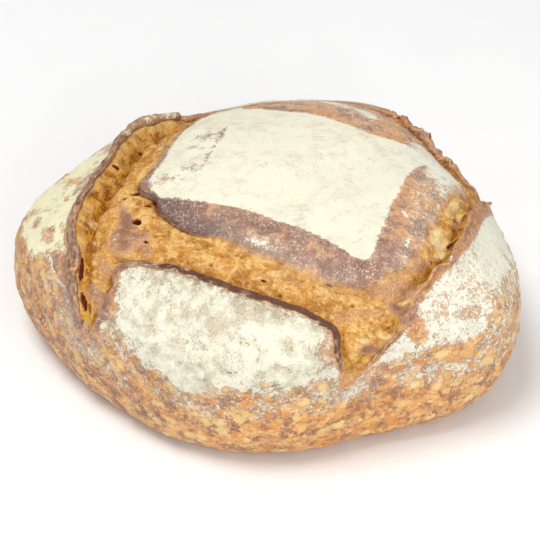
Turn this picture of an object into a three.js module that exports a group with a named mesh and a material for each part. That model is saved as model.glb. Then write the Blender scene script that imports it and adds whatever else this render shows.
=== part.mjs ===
// A round farmhouse sourdough loaf, about 26 cm across and 11 cm high, scored with four crossing cuts that
// opened in the oven: a square plateau of floured skin stands in the middle, four skin panels with curled
// lips ("ears") stand round it, and torn crumb shows between them. Millimetres, +Z up, origin under the
// middle of the loaf on its flat base.
//
// The skin is laid out on a flat "dough plan": a plan point is the arc length from the crown, in the
// direction round the loaf. Every feature is a distance in that plan, and the plan is then wrapped over the
// body.

import * as THREE from 'three';
import { mergeVertices } from 'three/addons/utils/BufferGeometryUtils.js';
import { ConvexHull } from 'three/addons/math/ConvexHull.js';

// ---------------------------------------------------------------------------------------------------------
// Driving dimensions
// ---------------------------------------------------------------------------------------------------------

const HEIGHT = 106; // crown of the plateau above the base
const WAIST_HEIGHT = 44; // level at which the loaf is widest
const DOME_POWER = 2.3; // 2 is a round dome, more is flatter on top
const WAIST_RADII = [129, 118, 132, 122, 119, 119, 129, 115, 112, 115, 116, 142]; // every 30 degrees from +X
const MEAN_RADIUS = 124; // radius that the profile's arc length is measured on
const BASE_SHARE = 0.82; // radius of the flat base, as a share of the waist's
const CROWN_SHIFT = [7, -23]; // the crown leans off the middle of the plan
const PLAN_SHIFT = [-1.6, -3.4]; // moves the waist's outline to the middle of the plan

// Skin lips along the cuts
const LIP_EDGE = 1.6; // plan width that is rolled round the edge of the skin
const LIP_FOOT = 4.5; // plan distance from the edge of the skin to the foot of the torn wall
const LIP_ROLL = 3; // the edge bulges over the cut by half its thickness, but never by more than half of this
const TRENCH_WIDTH = 6; // how far the low crumb at a lip's foot reaches
const RIM_TRENCH_WIDTH = 4; // and that beside the plateau
const PLATEAU_EDGE = 1.4; // plan width of the small step round the plateau
const TIP_FADE = 34; // distance over which a cut shallows out to its tip
const FIELD_REACH = 26; // how far a row of the two tables below is felt

// Outer line of the opened cuts in the dough plan, counterclockwise: front right tip, right lip, back
// right tip, back lip, back left tip, left ear, front left tip, front panel's lip.
const OPENING = [
  [51, -134], [58, -116], [63, -102], [66, -88], [67, -72], [69, -52], [77, -36], [88, -20],
  [99, -5], [110, 8], [128, 20], [147, 28], [134, 38], [118, 51], [101, 65], [85, 77],
  [67, 89], [47, 105], [21, 119], [-8, 124], [-34, 121], [-58, 121], [-84, 128], [-68, 112],
  [-53, 102], [-64, 90], [-78, 69], [-85, 46], [-88, 28], [-91, 10], [-95, -8], [-99.5, -27],
  [-105, -46], [-107, -64], [-109, -79], [-113, -91], [-103, -90], [-91, -74], [-86, -60], [-82, -49],
  [-72, -48], [-58, -54], [-44, -61], [-28, -69], [-10, -77], [6, -82], [20, -89], [33, -97],
  [36, -109], [44, -122],
];
// Outline of the plateau of skin between the cuts, counterclockwise.
const PLATEAU = [
  [-57, 4], [-54, -9], [-46, -23], [-32, -31], [-15, -41], [4, -51], [24, -60], [43, -65],
  [51, -53], [58, -41], [67, -25], [79, -7], [94, 13], [112, 32], [107, 48], [92, 65],
  [73, 80], [51, 94], [28, 105], [4, 111], [-22, 109], [-40, 98], [-49, 78], [-56, 60],
  [-60, 46], [-64, 30], [-67, 18], [-63, 9],
];
const CUT_TIPS = [OPENING[0], OPENING[11], OPENING[22], OPENING[35]];

// What the lip is like near a plan point: how high the ear stands, how thick its edge is, how far it leans
// in over the cut, the width of skin that rises with it, the depth of the trench at its foot and the level
// of the crumb.
const LIPS = [
  { at: [-107, -60], ear: 4, thickness: 2.6, lean: 0.5, width: 12, trench: 2, crumb: -1.5 },
  { at: [-93, 0], ear: 6, thickness: 3, lean: -1, width: 14, trench: 4, crumb: -3 },
  { at: [-82, 55], ear: 8, thickness: 4, lean: -1.5, width: 14, trench: 4, crumb: -3 },
  { at: [-55, 98], ear: 7, thickness: 6, lean: -1, width: 13, trench: 4, crumb: -3 },
  { at: [-36, 120], ear: -7, thickness: 3, lean: 0, width: 26, trench: 1, crumb: -8 },
  { at: [8, 122], ear: -5, thickness: 2.6, lean: 0, width: 20, trench: 1, crumb: -6 },
  { at: [46, 104], ear: -2, thickness: 2.6, lean: 0, width: 16, trench: 1, crumb: -5 },
  { at: [80, 80], ear: 3, thickness: 3.5, lean: 0, width: 12, trench: 1, crumb: -6 },
  { at: [104, 60], ear: 2, thickness: 3.5, lean: 0, width: 12, trench: 1, crumb: -5 },
  { at: [134, 34], ear: 2, thickness: 2.6, lean: 0, width: 10, trench: 2, crumb: -3 },
  { at: [99, -5], ear: 5, thickness: 2.6, lean: 2, width: 11, trench: 3, crumb: -3 },
  { at: [70, -48], ear: 4.5, thickness: 2.4, lean: 1.5, width: 11, trench: 4, crumb: -3 },
  { at: [62, -104], ear: 2.5, thickness: 2, lean: 0.8, width: 9, trench: 1.5, crumb: -1 },
  { at: [40, -115], ear: 3, thickness: 2, lean: 1, width: 9, trench: 2, crumb: -1.5 },
  { at: [10, -84], ear: 3.5, thickness: 2, lean: 1, width: 10, trench: 2.5, crumb: -4.8 },
  { at: [-50, -58], ear: 3.5, thickness: 2, lean: 1, width: 10, trench: 2.5, crumb: -4.2 },
  { at: [-86, -60], ear: 2, thickness: 2, lean: 0.5, width: 9, trench: 1, crumb: -2 },
];
// What the plateau's rim is like near a plan point: how far the skin bends down, over what width, and the
// height of the step from the edge of the skin to the crumb.
const RIMS = [
  { at: [-56, 0], bend: 1, width: 12, step: 5 },
  { at: [-47, -21], bend: 3, width: 14, step: 4.5 },
  { at: [-34, -33], bend: 4, width: 16, step: 0.2 },
  { at: [-15, -41], bend: 4.5, width: 20, step: 0.3 },
  { at: [20, -60], bend: 5, width: 22, step: 0.3 },
  { at: [45, -64], bend: 5, width: 22, step: 0.5 },
  { at: [75, -16], bend: 4, width: 18, step: 0.6 },
  { at: [108, 36], bend: 3, width: 16, step: 1.5 },
  { at: [84, 72], bend: 0.6, width: 16, step: 2.5 },
  { at: [30, 104], bend: 1, width: 16, step: 2 },
  { at: [-20, 108], bend: 3, width: 16, step: 2 },
  { at: [-62, 35], bend: 1, width: 12, step: 1 },
];

// Relief
const SWELL = { size: 42, height: 1.6 }; // slow unevenness of the whole skin
const RIPPLE = { size: 15, height: 0.6 }; // smaller unevenness, strongest low on the sides
const CRAG = { size: 10, height: 1.5 }; // torn crumb
const BLISTERS = { count: 110, radius: [3.2, 6], height: [0.8, 1.5], from: 112, to: 186, clearOfCut: 14 };
const CURLS = [ // loose ends of skin that stand up at the right of the crown and behind it
  { at: [104, 30], radius: 1, height: 2.2, lean: [1, 1] },
  { at: [114, 9], radius: 1.2, height: 3, lean: [2, 1] },
];
const LEVEL_FADE = 9; // height over which the relief dies away down to the base

// Mesh
const LINE_STEP = 2; // spacing of points on the lines that distances are measured from
const ROW_STEP = 4; // spacing of points along a cut
const LIP_ROWS = [6, 3, 0, -LIP_EDGE / 2, -LIP_EDGE, -LIP_FOOT];
const RIM_ROWS = [-4, 0, PLATEAU_EDGE];
const SPACING = { crumb: 2.7, skin: 4.6, side: 6.2, base: 8.4 }; // least distance between scattered points
const PITCH = 2.3; // grid that the scattered points are taken from
const PANEL_BLEND = 40; // distance from a cut over which the skin's spacing grows to the side's
const ROW_CLEARANCE = 0.85; // share of a row's offset that its points keep from other stretches of their line
const CLOSEST = 0.64; // least distance between points of the rows
const BASE_POINTS = 118; // round the edge of the base
const BASE_MARGIN = 5; // band inside the base's edge without scattered points
const BASE_RINGS = [{ count: 30, share: 0.62 }, { count: 3, share: 0.3 }]; // points inside that edge

// ---------------------------------------------------------------------------------------------------------
// Small maths
// ---------------------------------------------------------------------------------------------------------

const clamp01 = (x) => Math.min(1, Math.max(0, x));
const mix = (a, b, t) => a + (b - a) * t;
const smooth = (x) => clamp01(x) ** 2 * (3 - 2 * clamp01(x));
const bell = (distance, reach) => Math.exp(-((distance / reach) ** 2));

/** A repeatable pseudo-random number from 0 to 1 for three whole numbers. */
function scatterValue(i, j, k) {
  const wave = Math.sin(i * 127.1 + j * 311.7 + k * 74.7) * 43758.5453;
  return wave - Math.floor(wave);
}

/** Smooth noise from -1 to 1 at a point, with lumps of the given size. */
function lumps(point, size, seed) {
  const scaled = [point.x / size + seed, point.y / size + seed * 1.7, point.z / size + seed * 2.3];
  const cell = scaled.map(Math.floor);
  const ease = scaled.map((value, axis) => smooth(value - cell[axis]));
  let sum = 0;
  for (let corner = 0; corner < 8; corner++) {
    const offset = [corner & 1, (corner >> 1) & 1, corner >> 2];
    const weight = offset.reduce((w, o, axis) => w * (o ? ease[axis] : 1 - ease[axis]), 1);
    sum += weight * scatterValue(cell[0] + offset[0], cell[1] + offset[1], cell[2] + offset[2]);
  }
  return 2 * sum - 1;
}

// ---------------------------------------------------------------------------------------------------------
// The body, and the wrap from the dough plan on to it
// ---------------------------------------------------------------------------------------------------------

const PROFILE_STEPS = 240; // from the crown to the waist, and again from the waist to the base

/** Profile from the crown to the edge of the base: share of the waist radius, height, and arc length. */
function makeProfile() {
  const rows = [];
  for (let i = 0; i <= PROFILE_STEPS; i++) {
    const angle = (i / PROFILE_STEPS) * (Math.PI / 2);
    const share = Math.sin(angle) ** (2 / DOME_POWER);
    const height = mix(WAIST_HEIGHT, HEIGHT, Math.max(0, Math.cos(angle)) ** (2 / DOME_POWER));
    rows.push({ share, height });
  }
  for (let i = 1; i <= PROFILE_STEPS; i++) {
    const angle = (i / PROFILE_STEPS) * (Math.PI / 2);
    const share = mix(BASE_SHARE, 1, Math.cos(angle));
    rows.push({ share, height: WAIST_HEIGHT * (1 - Math.sin(angle)) });
  }
  let arc = 0;
  rows.forEach((row, i) => {
    const before = rows[i - 1] ?? row;
    arc += Math.hypot((row.share - before.share) * MEAN_RADIUS, row.height - before.height);
    row.arc = arc;
  });
  return rows;
}

const PROFILE = makeProfile();
const WAIST_ARC = PROFILE[PROFILE_STEPS].arc; // plan distance from the crown to the waist
const PLAN_RADIUS = PROFILE[PROFILE.length - 1].arc; // and to the edge of the base

function profileAt(arc) {
  let low = 0;
  let high = PROFILE.length - 1;
  while (high - low > 1) {
    const middle = (low + high) >> 1;
    if (PROFILE[middle].arc <= arc) low = middle;
    else high = middle;
  }
  const t = clamp01((arc - PROFILE[low].arc) / (PROFILE[high].arc - PROFILE[low].arc));
  return {
    share: mix(PROFILE[low].share, PROFILE[high].share, t),
    height: mix(PROFILE[low].height, PROFILE[high].height, t),
  };
}

/** Radius at the waist in a direction, a smooth curve through WAIST_RADII. */
function waistRadius(angle) {
  const count = WAIST_RADII.length;
  const turn = ((angle / (2 * Math.PI)) * count + count) % count;
  const start = Math.floor(turn) % count;
  const t = turn - Math.floor(turn);
  const [a, b, c, d] = [-1, 0, 1, 2].map((k) => WAIST_RADII[(start + k + count) % count]);
  const bend = (2 * a - 5 * b + 4 * c - d) * t ** 2 + (3 * b - a - 3 * c + d) * t ** 3;
  return 0.5 * (2 * b + (c - a) * t + bend);
}

/** The point of the smooth body under a plan point. */
function body(x, y) {
  const angle = Math.atan2(y, x);
  const { share, height } = profileAt(Math.hypot(x, y));
  const radius = waistRadius(angle) * share;
  const lean = smooth((height - WAIST_HEIGHT) / (HEIGHT - WAIST_HEIGHT));
  return new THREE.Vector3(
    radius * Math.cos(angle) + CROWN_SHIFT[0] * lean + PLAN_SHIFT[0],
    radius * Math.sin(angle) + CROWN_SHIFT[1] * lean + PLAN_SHIFT[1],
    height,
  );
}

function bodyNormal(x, y) {
  const step = 0.5;
  const alongX = body(x + step, y).sub(body(x - step, y));
  const alongY = body(x, y + step).sub(body(x, y - step));
  return alongX.cross(alongY).normalize();
}

// ---------------------------------------------------------------------------------------------------------
// Curves and fields in the dough plan
// ---------------------------------------------------------------------------------------------------------

/** A closed smooth line through plan points, as evenly spaced points with their outward normals. */
function closedLine(corners, step) {
  const knots = corners.map(([x, y]) => new THREE.Vector3(x, y, 0));
  const curve = new THREE.CatmullRomCurve3(knots, true, 'catmullrom');
  const count = Math.round(curve.getLength() / step);
  const points = curve.getSpacedPoints(count).slice(0, count);
  return points.map((point, i) => {
    const ahead = points[(i + 1) % count];
    const behind = points[(i + count - 1) % count];
    const length = Math.hypot(ahead.x - behind.x, ahead.y - behind.y);
    const normal = [(ahead.y - behind.y) / length, (behind.x - ahead.x) / length];
    return { x: point.x, y: point.y, normal };
  });
}

/** Signed distance from a plan point to a closed line, above 0 outside it, and the outward direction. */
function signedDistance(line, x, y) {
  let best = Infinity;
  let nearest = null;
  let inside = false;
  for (let i = 0, j = line.length - 1; i < line.length; j = i++) {
    const a = line[j];
    const b = line[i];
    const [dx, dy] = [b.x - a.x, b.y - a.y];
    const t = clamp01(((x - a.x) * dx + (y - a.y) * dy) / (dx * dx + dy * dy));
    const gap = Math.hypot(x - a.x - dx * t, y - a.y - dy * t);
    if (gap < best) {
      best = gap;
      nearest = { a, b, t };
    }
    if (a.y > y !== b.y > y && x < a.x + ((y - a.y) / dy) * dx) inside = !inside;
  }
  const { a, b, t } = nearest;
  const normal = [mix(a.normal[0], b.normal[0], t), mix(a.normal[1], b.normal[1], t)];
  const length = Math.hypot(...normal);
  return { distance: inside ? -best : best, outward: normal.map((value) => value / length) };
}

/** The values of a table at a plan point: an average of its rows, the near ones counting most. */
function blendRows(table, x, y) {
  const sums = {};
  let total = 1e-9;
  for (const row of table) {
    const weight = bell(Math.hypot(x - row.at[0], y - row.at[1]), FIELD_REACH) + 1e-6;
    total += weight;
    for (const [name, value] of Object.entries(row)) {
      if (name !== 'at') sums[name] = (sums[name] ?? 0) + weight * value;
    }
  }
  for (const name of Object.keys(sums)) sums[name] /= total;
  return sums;
}

const OPENING_LINE = closedLine(OPENING, LINE_STEP);
const PLATEAU_LINE = closedLine(PLATEAU, LINE_STEP);

/** 1 along the cuts, falling to 0 at their tips. */
function openness(x, y) {
  return CUT_TIPS.reduce((share, tip) => share * smooth(Math.hypot(x - tip[0], y - tip[1]) / TIP_FADE), 1);
}

// ---------------------------------------------------------------------------------------------------------
// The surface over the body: a height along its normal, and a shift in the plan where a lip leans
// ---------------------------------------------------------------------------------------------------------

function makeBlisters() {
  const blisters = [];
  for (let i = 0; i < BLISTERS.count; i++) {
    const angle = scatterValue(i, 1, 7) * 2 * Math.PI;
    const arc = mix(BLISTERS.from, BLISTERS.to, scatterValue(i, 2, 7));
    const size = scatterValue(i, 3, 7) ** 2;
    const blister = {
      at: [arc * Math.cos(angle), arc * Math.sin(angle)],
      radius: mix(...BLISTERS.radius, size),
      height: mix(...BLISTERS.height, size),
      lean: [0, 0],
    };
    const apart = blisters.every(({ at, radius }) => {
      return Math.hypot(at[0] - blister.at[0], at[1] - blister.at[1]) > 2 * (radius + blister.radius);
    });
    const clear = signedDistance(OPENING_LINE, ...blister.at).distance > BLISTERS.clearOfCut;
    if (apart && clear) blisters.push(blister);
  }
  return blisters;
}

const BUMPS = [...makeBlisters(), ...CURLS];

/** The skin outside the opening: an ear that rises and leans towards the cut. */
function skinPanel(lip, distance) {
  const rise = clamp01(1 - distance / lip.width) ** 2;
  return { height: lip.ear * rise, inward: lip.lean * rise };
}

/** The rolled edge of the skin and the torn wall down to the foot. */
function lipWall(lip, depthIn, floor) {
  if (depthIn < LIP_EDGE) {
    const turn = (depthIn / LIP_EDGE) * Math.PI;
    const height = lip.ear - (lip.thickness * (1 - Math.cos(turn))) / 2;
    const bulge = Math.min(lip.thickness, LIP_ROLL) / 2;
    return { height, inward: lip.lean + bulge * Math.sin(turn) - depthIn };
  }
  const t = (depthIn - LIP_EDGE) / (LIP_FOOT - LIP_EDGE);
  return {
    height: mix(lip.ear - lip.thickness, floor, smooth(t)),
    inward: mix(lip.lean - LIP_EDGE, 0, t) * (1 - t),
  };
}

/** The skin of the plateau, which bends down towards its edge. */
function plateauSkin(rim, depthIn) {
  return { height: -rim.bend * clamp01(1 - depthIn / rim.width) ** 2, inward: 0 };
}

/** Level of the crumb between a lip's foot and the plateau's step. */
function crumbFloor(lip, rim, toLip, toPlateau) {
  const nearLip = bell(Math.max(0, toLip - LIP_FOOT), TRENCH_WIDTH);
  const nearPlateau = bell(toPlateau, RIM_TRENCH_WIDTH);
  const ledge = -rim.bend - rim.step;
  return lip.crumb - lip.trench * nearLip + (ledge - lip.crumb) * nearPlateau * (1 - nearLip / 2);
}

function roundBumps(x, y) {
  const sum = { height: 0, shift: [0, 0] };
  for (const { at, radius, height, lean } of BUMPS) {
    const share = 1 - (Math.hypot(x - at[0], y - at[1]) / radius) ** 2;
    if (share > 0) {
      sum.height += height * share;
      sum.shift = sum.shift.map((value, axis) => value + lean[axis] * share);
    }
  }
  return sum;
}

/** The loaf's surface at a plan point. */
function loafPoint(x, y) {
  const open = openness(x, y);
  const lip = blendRows(LIPS, x, y);
  for (const name of ['ear', 'thickness', 'lean', 'trench', 'crumb']) lip[name] *= open;
  const rim = blendRows(RIMS, x, y);
  const toOpening = signedDistance(OPENING_LINE, x, y);
  const toPlateau = signedDistance(PLATEAU_LINE, x, y);
  const depthIn = -toOpening.distance;
  const under = body(x, y);

  let form;
  let crumbShare = 0;
  if (toOpening.distance >= 0) {
    form = skinPanel(lip, toOpening.distance);
  } else if (toPlateau.distance <= 0) {
    form = plateauSkin(rim, -toPlateau.distance);
  } else {
    const floor = crumbFloor(lip, rim, depthIn, toPlateau.distance);
    form = depthIn < LIP_FOOT ? lipWall(lip, depthIn, floor) : { height: floor, inward: 0 };
    const clearOfEdges = Math.min((depthIn - LIP_EDGE) / LIP_FOOT, toPlateau.distance / LIP_FOOT);
    crumbShare = smooth(clearOfEdges) * open;
  }

  const lowShare = smooth((WAIST_HEIGHT * 1.6 - under.z) / WAIST_HEIGHT);
  const swell = SWELL.height * lumps(under, SWELL.size, 3);
  const ripple = RIPPLE.height * lumps(under, RIPPLE.size, 5) * mix(0.3, 1, lowShare);
  const crags = lumps(under, CRAG.size, 11) + 0.4 * lumps(under, CRAG.size / 2, 17);
  const crag = CRAG.height * crumbShare * crags;
  const bumps = roundBumps(x, y);
  const settled = smooth(under.z / LEVEL_FADE);
  const height = (form.height + swell + ripple + crag + bumps.height) * settled;
  const planX = x - toOpening.outward[0] * form.inward + bumps.shift[0];
  const planY = y - toOpening.outward[1] * form.inward + bumps.shift[1];
  return body(planX, planY).addScaledVector(bodyNormal(planX, planY), height);
}

// ---------------------------------------------------------------------------------------------------------
// Mesh: plan points, their Delaunay triangles, and the wrapped surface
// ---------------------------------------------------------------------------------------------------------

/** Plan points kept apart from each other, found by the square cell that they lie in. */
class PlanPoints {
  constructor(cellSize) {
    this.cellSize = cellSize;
    this.cells = new Map();
    this.list = [];
  }

  cellOf(x, y) {
    return [Math.floor(x / this.cellSize), Math.floor(y / this.cellSize)];
  }

  isClear(x, y, spacing) {
    const [column, row] = this.cellOf(x, y);
    const reach = Math.ceil(spacing / this.cellSize);
    for (let i = column - reach; i <= column + reach; i++) {
      for (let j = row - reach; j <= row + reach; j++) {
        const near = this.cells.get(`${i},${j}`) ?? [];
        if (near.some(([px, py]) => Math.hypot(px - x, py - y) < spacing)) return false;
      }
    }
    return true;
  }

  add(x, y, spacing) {
    if (!this.isClear(x, y, spacing)) return;
    const key = this.cellOf(x, y).join(',');
    if (!this.cells.has(key)) this.cells.set(key, []);
    this.cells.get(key).push([x, y]);
    this.list.push([x, y]);
  }
}

/** Points along a closed line at one distance from it, without those that another stretch comes near. */
function addRow(points, line, offset, spacing) {
  for (const { x, y, normal } of line) {
    const [px, py] = [x + normal[0] * offset, y + normal[1] * offset];
    const { distance } = signedDistance(line, px, py);
    if (Math.abs(distance) > ROW_CLEARANCE * Math.abs(offset)) points.add(px, py, spacing);
  }
}

/** The least distance between points near a plan point: small in the torn crumb, large towards the base. */
function planSpacing(x, y) {
  const arc = Math.hypot(x, y);
  if (arc > WAIST_ARC) return mix(SPACING.side, SPACING.base, (arc - WAIST_ARC) / (PLAN_RADIUS - WAIST_ARC));
  const toOpening = signedDistance(OPENING_LINE, x, y).distance;
  const toPlateau = signedDistance(PLATEAU_LINE, x, y).distance;
  if (toOpening < 0 && toPlateau > 0) return SPACING.crumb;
  return mix(SPACING.skin, SPACING.side, smooth(toOpening / PANEL_BLEND));
}

/** The plan points of a shaken grid inside the edge of the base, in a shuffled order. */
function shuffledGrid() {
  const candidates = [];
  const reach = Math.ceil(PLAN_RADIUS / PITCH);
  for (let i = -reach; i <= reach; i++) {
    for (let j = -reach; j <= reach; j++) {
      const x = (i + scatterValue(i, j, 1) - 0.5) * PITCH;
      const y = (j + scatterValue(i, j, 2) - 0.5) * PITCH;
      const inside = Math.hypot(x, y) < PLAN_RADIUS - BASE_MARGIN;
      if (inside) candidates.push([x, y, scatterValue(i, j, 3)]);
    }
  }
  return candidates.sort((a, b) => a[2] - b[2]);
}

function makePlanPoints() {
  const points = new PlanPoints(SPACING.crumb);
  for (let i = 0; i < BASE_POINTS; i++) {
    const angle = (i / BASE_POINTS) * 2 * Math.PI;
    points.add(PLAN_RADIUS * Math.cos(angle), PLAN_RADIUS * Math.sin(angle), 0);
  }
  const openingRow = closedLine(OPENING, ROW_STEP);
  for (const offset of LIP_ROWS) addRow(points, openingRow, offset, CLOSEST);
  const plateauRow = closedLine(PLATEAU, ROW_STEP);
  for (const offset of RIM_ROWS) addRow(points, plateauRow, offset, CLOSEST);
  for (const { at, radius } of BUMPS) {
    points.add(at[0], at[1], 0);
    for (let k = 0; k < 6; k++) {
      const angle = (k / 6) * 2 * Math.PI;
      points.add(at[0] + radius * Math.cos(angle), at[1] + radius * Math.sin(angle), CLOSEST);
    }
  }
  for (const [x, y] of shuffledGrid()) points.add(x, y, planSpacing(x, y));
  return points.list;
}

/** Delaunay triangles of plan points: the under side of the convex hull of the points on a paraboloid. */
function delaunay(points, radius) {
  const order = new Map();
  const lifted = points.map(([x, y], i) => {
    const [u, v] = [x / radius, y / radius];
    const point = new THREE.Vector3(u, v, u * u + v * v);
    order.set(point, i);
    return point;
  });
  const triangles = [];
  for (const face of new ConvexHull().setFromPoints(lifted).faces) {
    const corners = [0, 1, 2].map((k) => order.get(face.getEdge(k).head().point));
    const [a, b, c] = corners.map((i) => points[i]);
    const area = (b[0] - a[0]) * (c[1] - a[1]) - (b[1] - a[1]) * (c[0] - a[0]);
    if (area < 0) triangles.push([corners[0], corners[2], corners[1]]);
  }
  return triangles;
}

/** Flat base: the same edge points, with rings of points inside them. */
function baseRings(edge) {
  const rings = [...edge];
  for (const { count, share } of BASE_RINGS) {
    for (let k = 0; k < count; k++) {
      const angle = ((k + 0.25) / count) * 2 * Math.PI;
      rings.push([PLAN_RADIUS * share * Math.cos(angle), PLAN_RADIUS * share * Math.sin(angle)]);
    }
  }
  return rings;
}

function makeLoafGeometry() {
  const plan = makePlanPoints();
  const positions = plan.map(([x, y]) => loafPoint(x, y));
  const triangles = delaunay(plan, PLAN_RADIUS);

  const edge = plan.slice(0, BASE_POINTS);
  const underside = baseRings(edge);
  const middle = new THREE.Vector3(...PLAN_SHIFT, 0);
  for (const [x, y] of underside.slice(BASE_POINTS)) {
    const share = Math.hypot(x, y) / PLAN_RADIUS;
    const rim = body(x / share, y / share).setZ(0);
    positions.push(middle.clone().lerp(rim, share));
  }
  const firstInner = plan.length;
  const atBase = (i) => (i < BASE_POINTS ? i : firstInner + i - BASE_POINTS);
  for (const [a, b, c] of delaunay(underside, PLAN_RADIUS)) triangles.push([atBase(a), atBase(c), atBase(b)]);

  const geometry = new THREE.BufferGeometry().setFromPoints(positions);
  geometry.setIndex(triangles.flat());
  return mergeVertices(geometry, 1e-4);
}

// ---------------------------------------------------------------------------------------------------------
// The part
// ---------------------------------------------------------------------------------------------------------

function makeLoaf() {
  const crust = new THREE.MeshStandardMaterial({ color: 0xc58a52, roughness: 0.82, metalness: 0 });
  const loaf = new THREE.Mesh(makeLoafGeometry(), crust);
  loaf.name = 'loaf';
  return loaf;
}

const part = new THREE.Group();
part.add(makeLoaf());

export default part;
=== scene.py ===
"""The looks of a round sourdough loaf: a fine mesh of crust and torn crumb in place of the CAD solid, its
material, a pale floor, soft studio light and the camera. Sizes are in mm until the mesh is made."""

import math
from types import SimpleNamespace

import bpy
import numpy as np
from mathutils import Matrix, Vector
from mathutils.geometry import delaunay_2d_cdt


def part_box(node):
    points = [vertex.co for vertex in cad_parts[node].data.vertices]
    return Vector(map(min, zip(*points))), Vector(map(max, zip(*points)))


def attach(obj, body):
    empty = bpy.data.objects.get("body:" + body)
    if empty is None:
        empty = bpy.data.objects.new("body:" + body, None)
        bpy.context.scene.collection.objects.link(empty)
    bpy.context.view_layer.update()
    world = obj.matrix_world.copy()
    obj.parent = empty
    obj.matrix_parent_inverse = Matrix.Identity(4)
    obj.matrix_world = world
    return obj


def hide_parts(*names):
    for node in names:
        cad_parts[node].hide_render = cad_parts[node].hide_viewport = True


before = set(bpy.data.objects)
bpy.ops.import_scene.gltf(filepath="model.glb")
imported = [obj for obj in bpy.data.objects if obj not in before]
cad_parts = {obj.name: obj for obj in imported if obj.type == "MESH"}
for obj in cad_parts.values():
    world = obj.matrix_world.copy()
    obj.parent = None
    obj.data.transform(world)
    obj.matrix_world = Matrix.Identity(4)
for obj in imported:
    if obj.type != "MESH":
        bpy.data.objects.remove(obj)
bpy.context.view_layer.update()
LOAF_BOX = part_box("loaf")
MM = 0.001

# ---- The body and the cuts, as in the part's source (mm) ----

HEIGHT = 106
WAIST_HEIGHT = 44
DOME_POWER = 2.3
WAIST_RADII = (129, 118, 132, 122, 119, 119, 129, 115, 112, 115, 116, 142)
MEAN_RADIUS = 124
BASE_SHARE = 0.82
CROWN_SHIFT = (7, -23)
PLAN_SHIFT = (-1.6, -3.4)

LIP_EDGE = 1.6
LIP_FOOT = 4.5
TRENCH_WIDTH = 6
RIM_TRENCH_WIDTH = 4
PLATEAU_EDGE = 1.4
TIP_FADE = 34
RAGGED_REACH = 2.4
FIELD_REACH = 26
BLUR = 4  # half the width over which the plateau's skin turns into crumb where its step is low
LOW_STEP = 2.2  # the step below which that begins

OPENING = (
    (51, -134), (58, -116), (63, -102), (66, -88), (67, -72), (69, -52), (77, -36), (88, -20), (99, -5),
    (110, 8), (128, 20), (147, 28), (134, 38), (118, 51), (101, 65), (85, 77), (67, 89), (47, 105),
    (21, 119), (-8, 124), (-34, 121), (-58, 121), (-84, 128), (-68, 112), (-53, 102), (-64, 90), (-78, 69),
    (-85, 46), (-88, 28), (-91, 10), (-95, -8), (-99.5, -27), (-105, -46), (-107, -64), (-109, -79),
    (-113, -91), (-103, -90), (-91, -74), (-86, -60), (-82, -49), (-72, -48), (-58, -54), (-44, -61),
    (-28, -69), (-10, -77), (6, -82), (20, -89), (33, -97), (36, -109), (44, -122),
)
PLATEAU = (
    (-57, 4), (-54, -9), (-46, -23), (-32, -31), (-15, -41), (4, -51), (24, -60), (43, -65), (51, -53),
    (58, -41), (67, -25), (79, -7), (94, 13), (112, 32), (107, 48), (92, 65), (73, 80), (51, 94), (28, 105),
    (4, 111), (-22, 109), (-40, 98), (-49, 78), (-56, 60), (-60, 46), (-64, 30), (-67, 18), (-63, 9),
)
CUT_TIPS = (OPENING[0], OPENING[11], OPENING[22], OPENING[35])

# Rows near a plan point. Those from ear to crumb are the CAD's. Bare is the width of skin along the lip
# with no flour on it, char how dark that skin is, rag how ragged the lip is, and the last column how brown
# the torn wall under it is: partly scorched crumb, partly painted shade from the trench beside the lip.
LIP_NAMES = ("x", "y", "ear", "thick", "lean", "width", "trench", "crumb", "bare", "char", "rag", "scorch")
LIPS = (
    (-107, -60, 4, 2.6, 0.5, 12, 2, -1.5, 6, 0.6, 1.3, 0),
    (-93, 0, 6, 3, -1, 14, 4, -3, 6, 0.5, 1.4, 0.1),
    (-82, 55, 8, 4, -1.5, 14, 4, -3, 8, 0.45, 1.8, 0.2),
    (-55, 98, 7, 6, -1, 13, 4, -3, 7, 0.35, 2.2, 0.3),
    (-36, 120, -7, 3, 0, 26, 1, -8, 5, 0.4, 0.8, 0.5),
    (8, 122, -5, 2.6, 0, 20, 1, -6, 5, 0.4, 0.8, 0.6),
    (46, 104, -2, 2.6, 0, 16, 1, -5, 5, 0.25, 0.8, 0.5),
    (80, 80, 3, 3.5, 0, 12, 1, -6, 6, 0.3, 1.8, 1),
    (104, 60, 2, 3.5, 0, 12, 1, -5, 6, 0.3, 1.8, 0.9),
    (134, 34, 2, 2.6, 0, 10, 2, -3, 6, 0.5, 1, 0.2),
    (99, -5, 5, 2.6, 2, 11, 3, -3, 4.5, 0.12, 1.1, 0),
    (70, -48, 4.5, 2.4, 1.5, 11, 4, -3, 1.5, 0.12, 1.4, 0),
    (62, -104, 2.5, 2, 0.8, 9, 1.5, -1, 0.5, 0.25, 1.2, 0.1),
    (40, -115, 3, 2, 1, 9, 2, -1.5, 2.8, 1.1, 0.9, 0.5),
    (10, -84, 3.5, 2, 1, 10, 2.5, -4.8, 2.3, 1, 1.2, 0.5),
    (-50, -58, 3.5, 2, 1, 10, 2.5, -4.2, 2.4, 0.9, 1.2, 0.4),
    (-86, -60, 2, 2, 0.5, 9, 1, -2, 1, 0.2, 1, 0),
)
RIM_NAMES = ("x", "y", "bend", "width", "step")
RIMS = (
    (-56, 0, 1, 12, 5),
    (-47, -21, 3, 14, 4.5),
    (-34, -33, 4, 16, 0.2),
    (-15, -41, 4.5, 20, 0.3),
    (20, -60, 5, 22, 0.3),
    (45, -64, 5, 22, 0.5),
    (75, -16, 4, 18, 0.6),
    (108, 36, 3, 16, 1.5),
    (84, 72, 0.6, 16, 2.5),
    (30, 104, 1, 16, 2),
    (-20, 108, 3, 16, 2),
    (-62, 35, 1, 12, 1),
)

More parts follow.
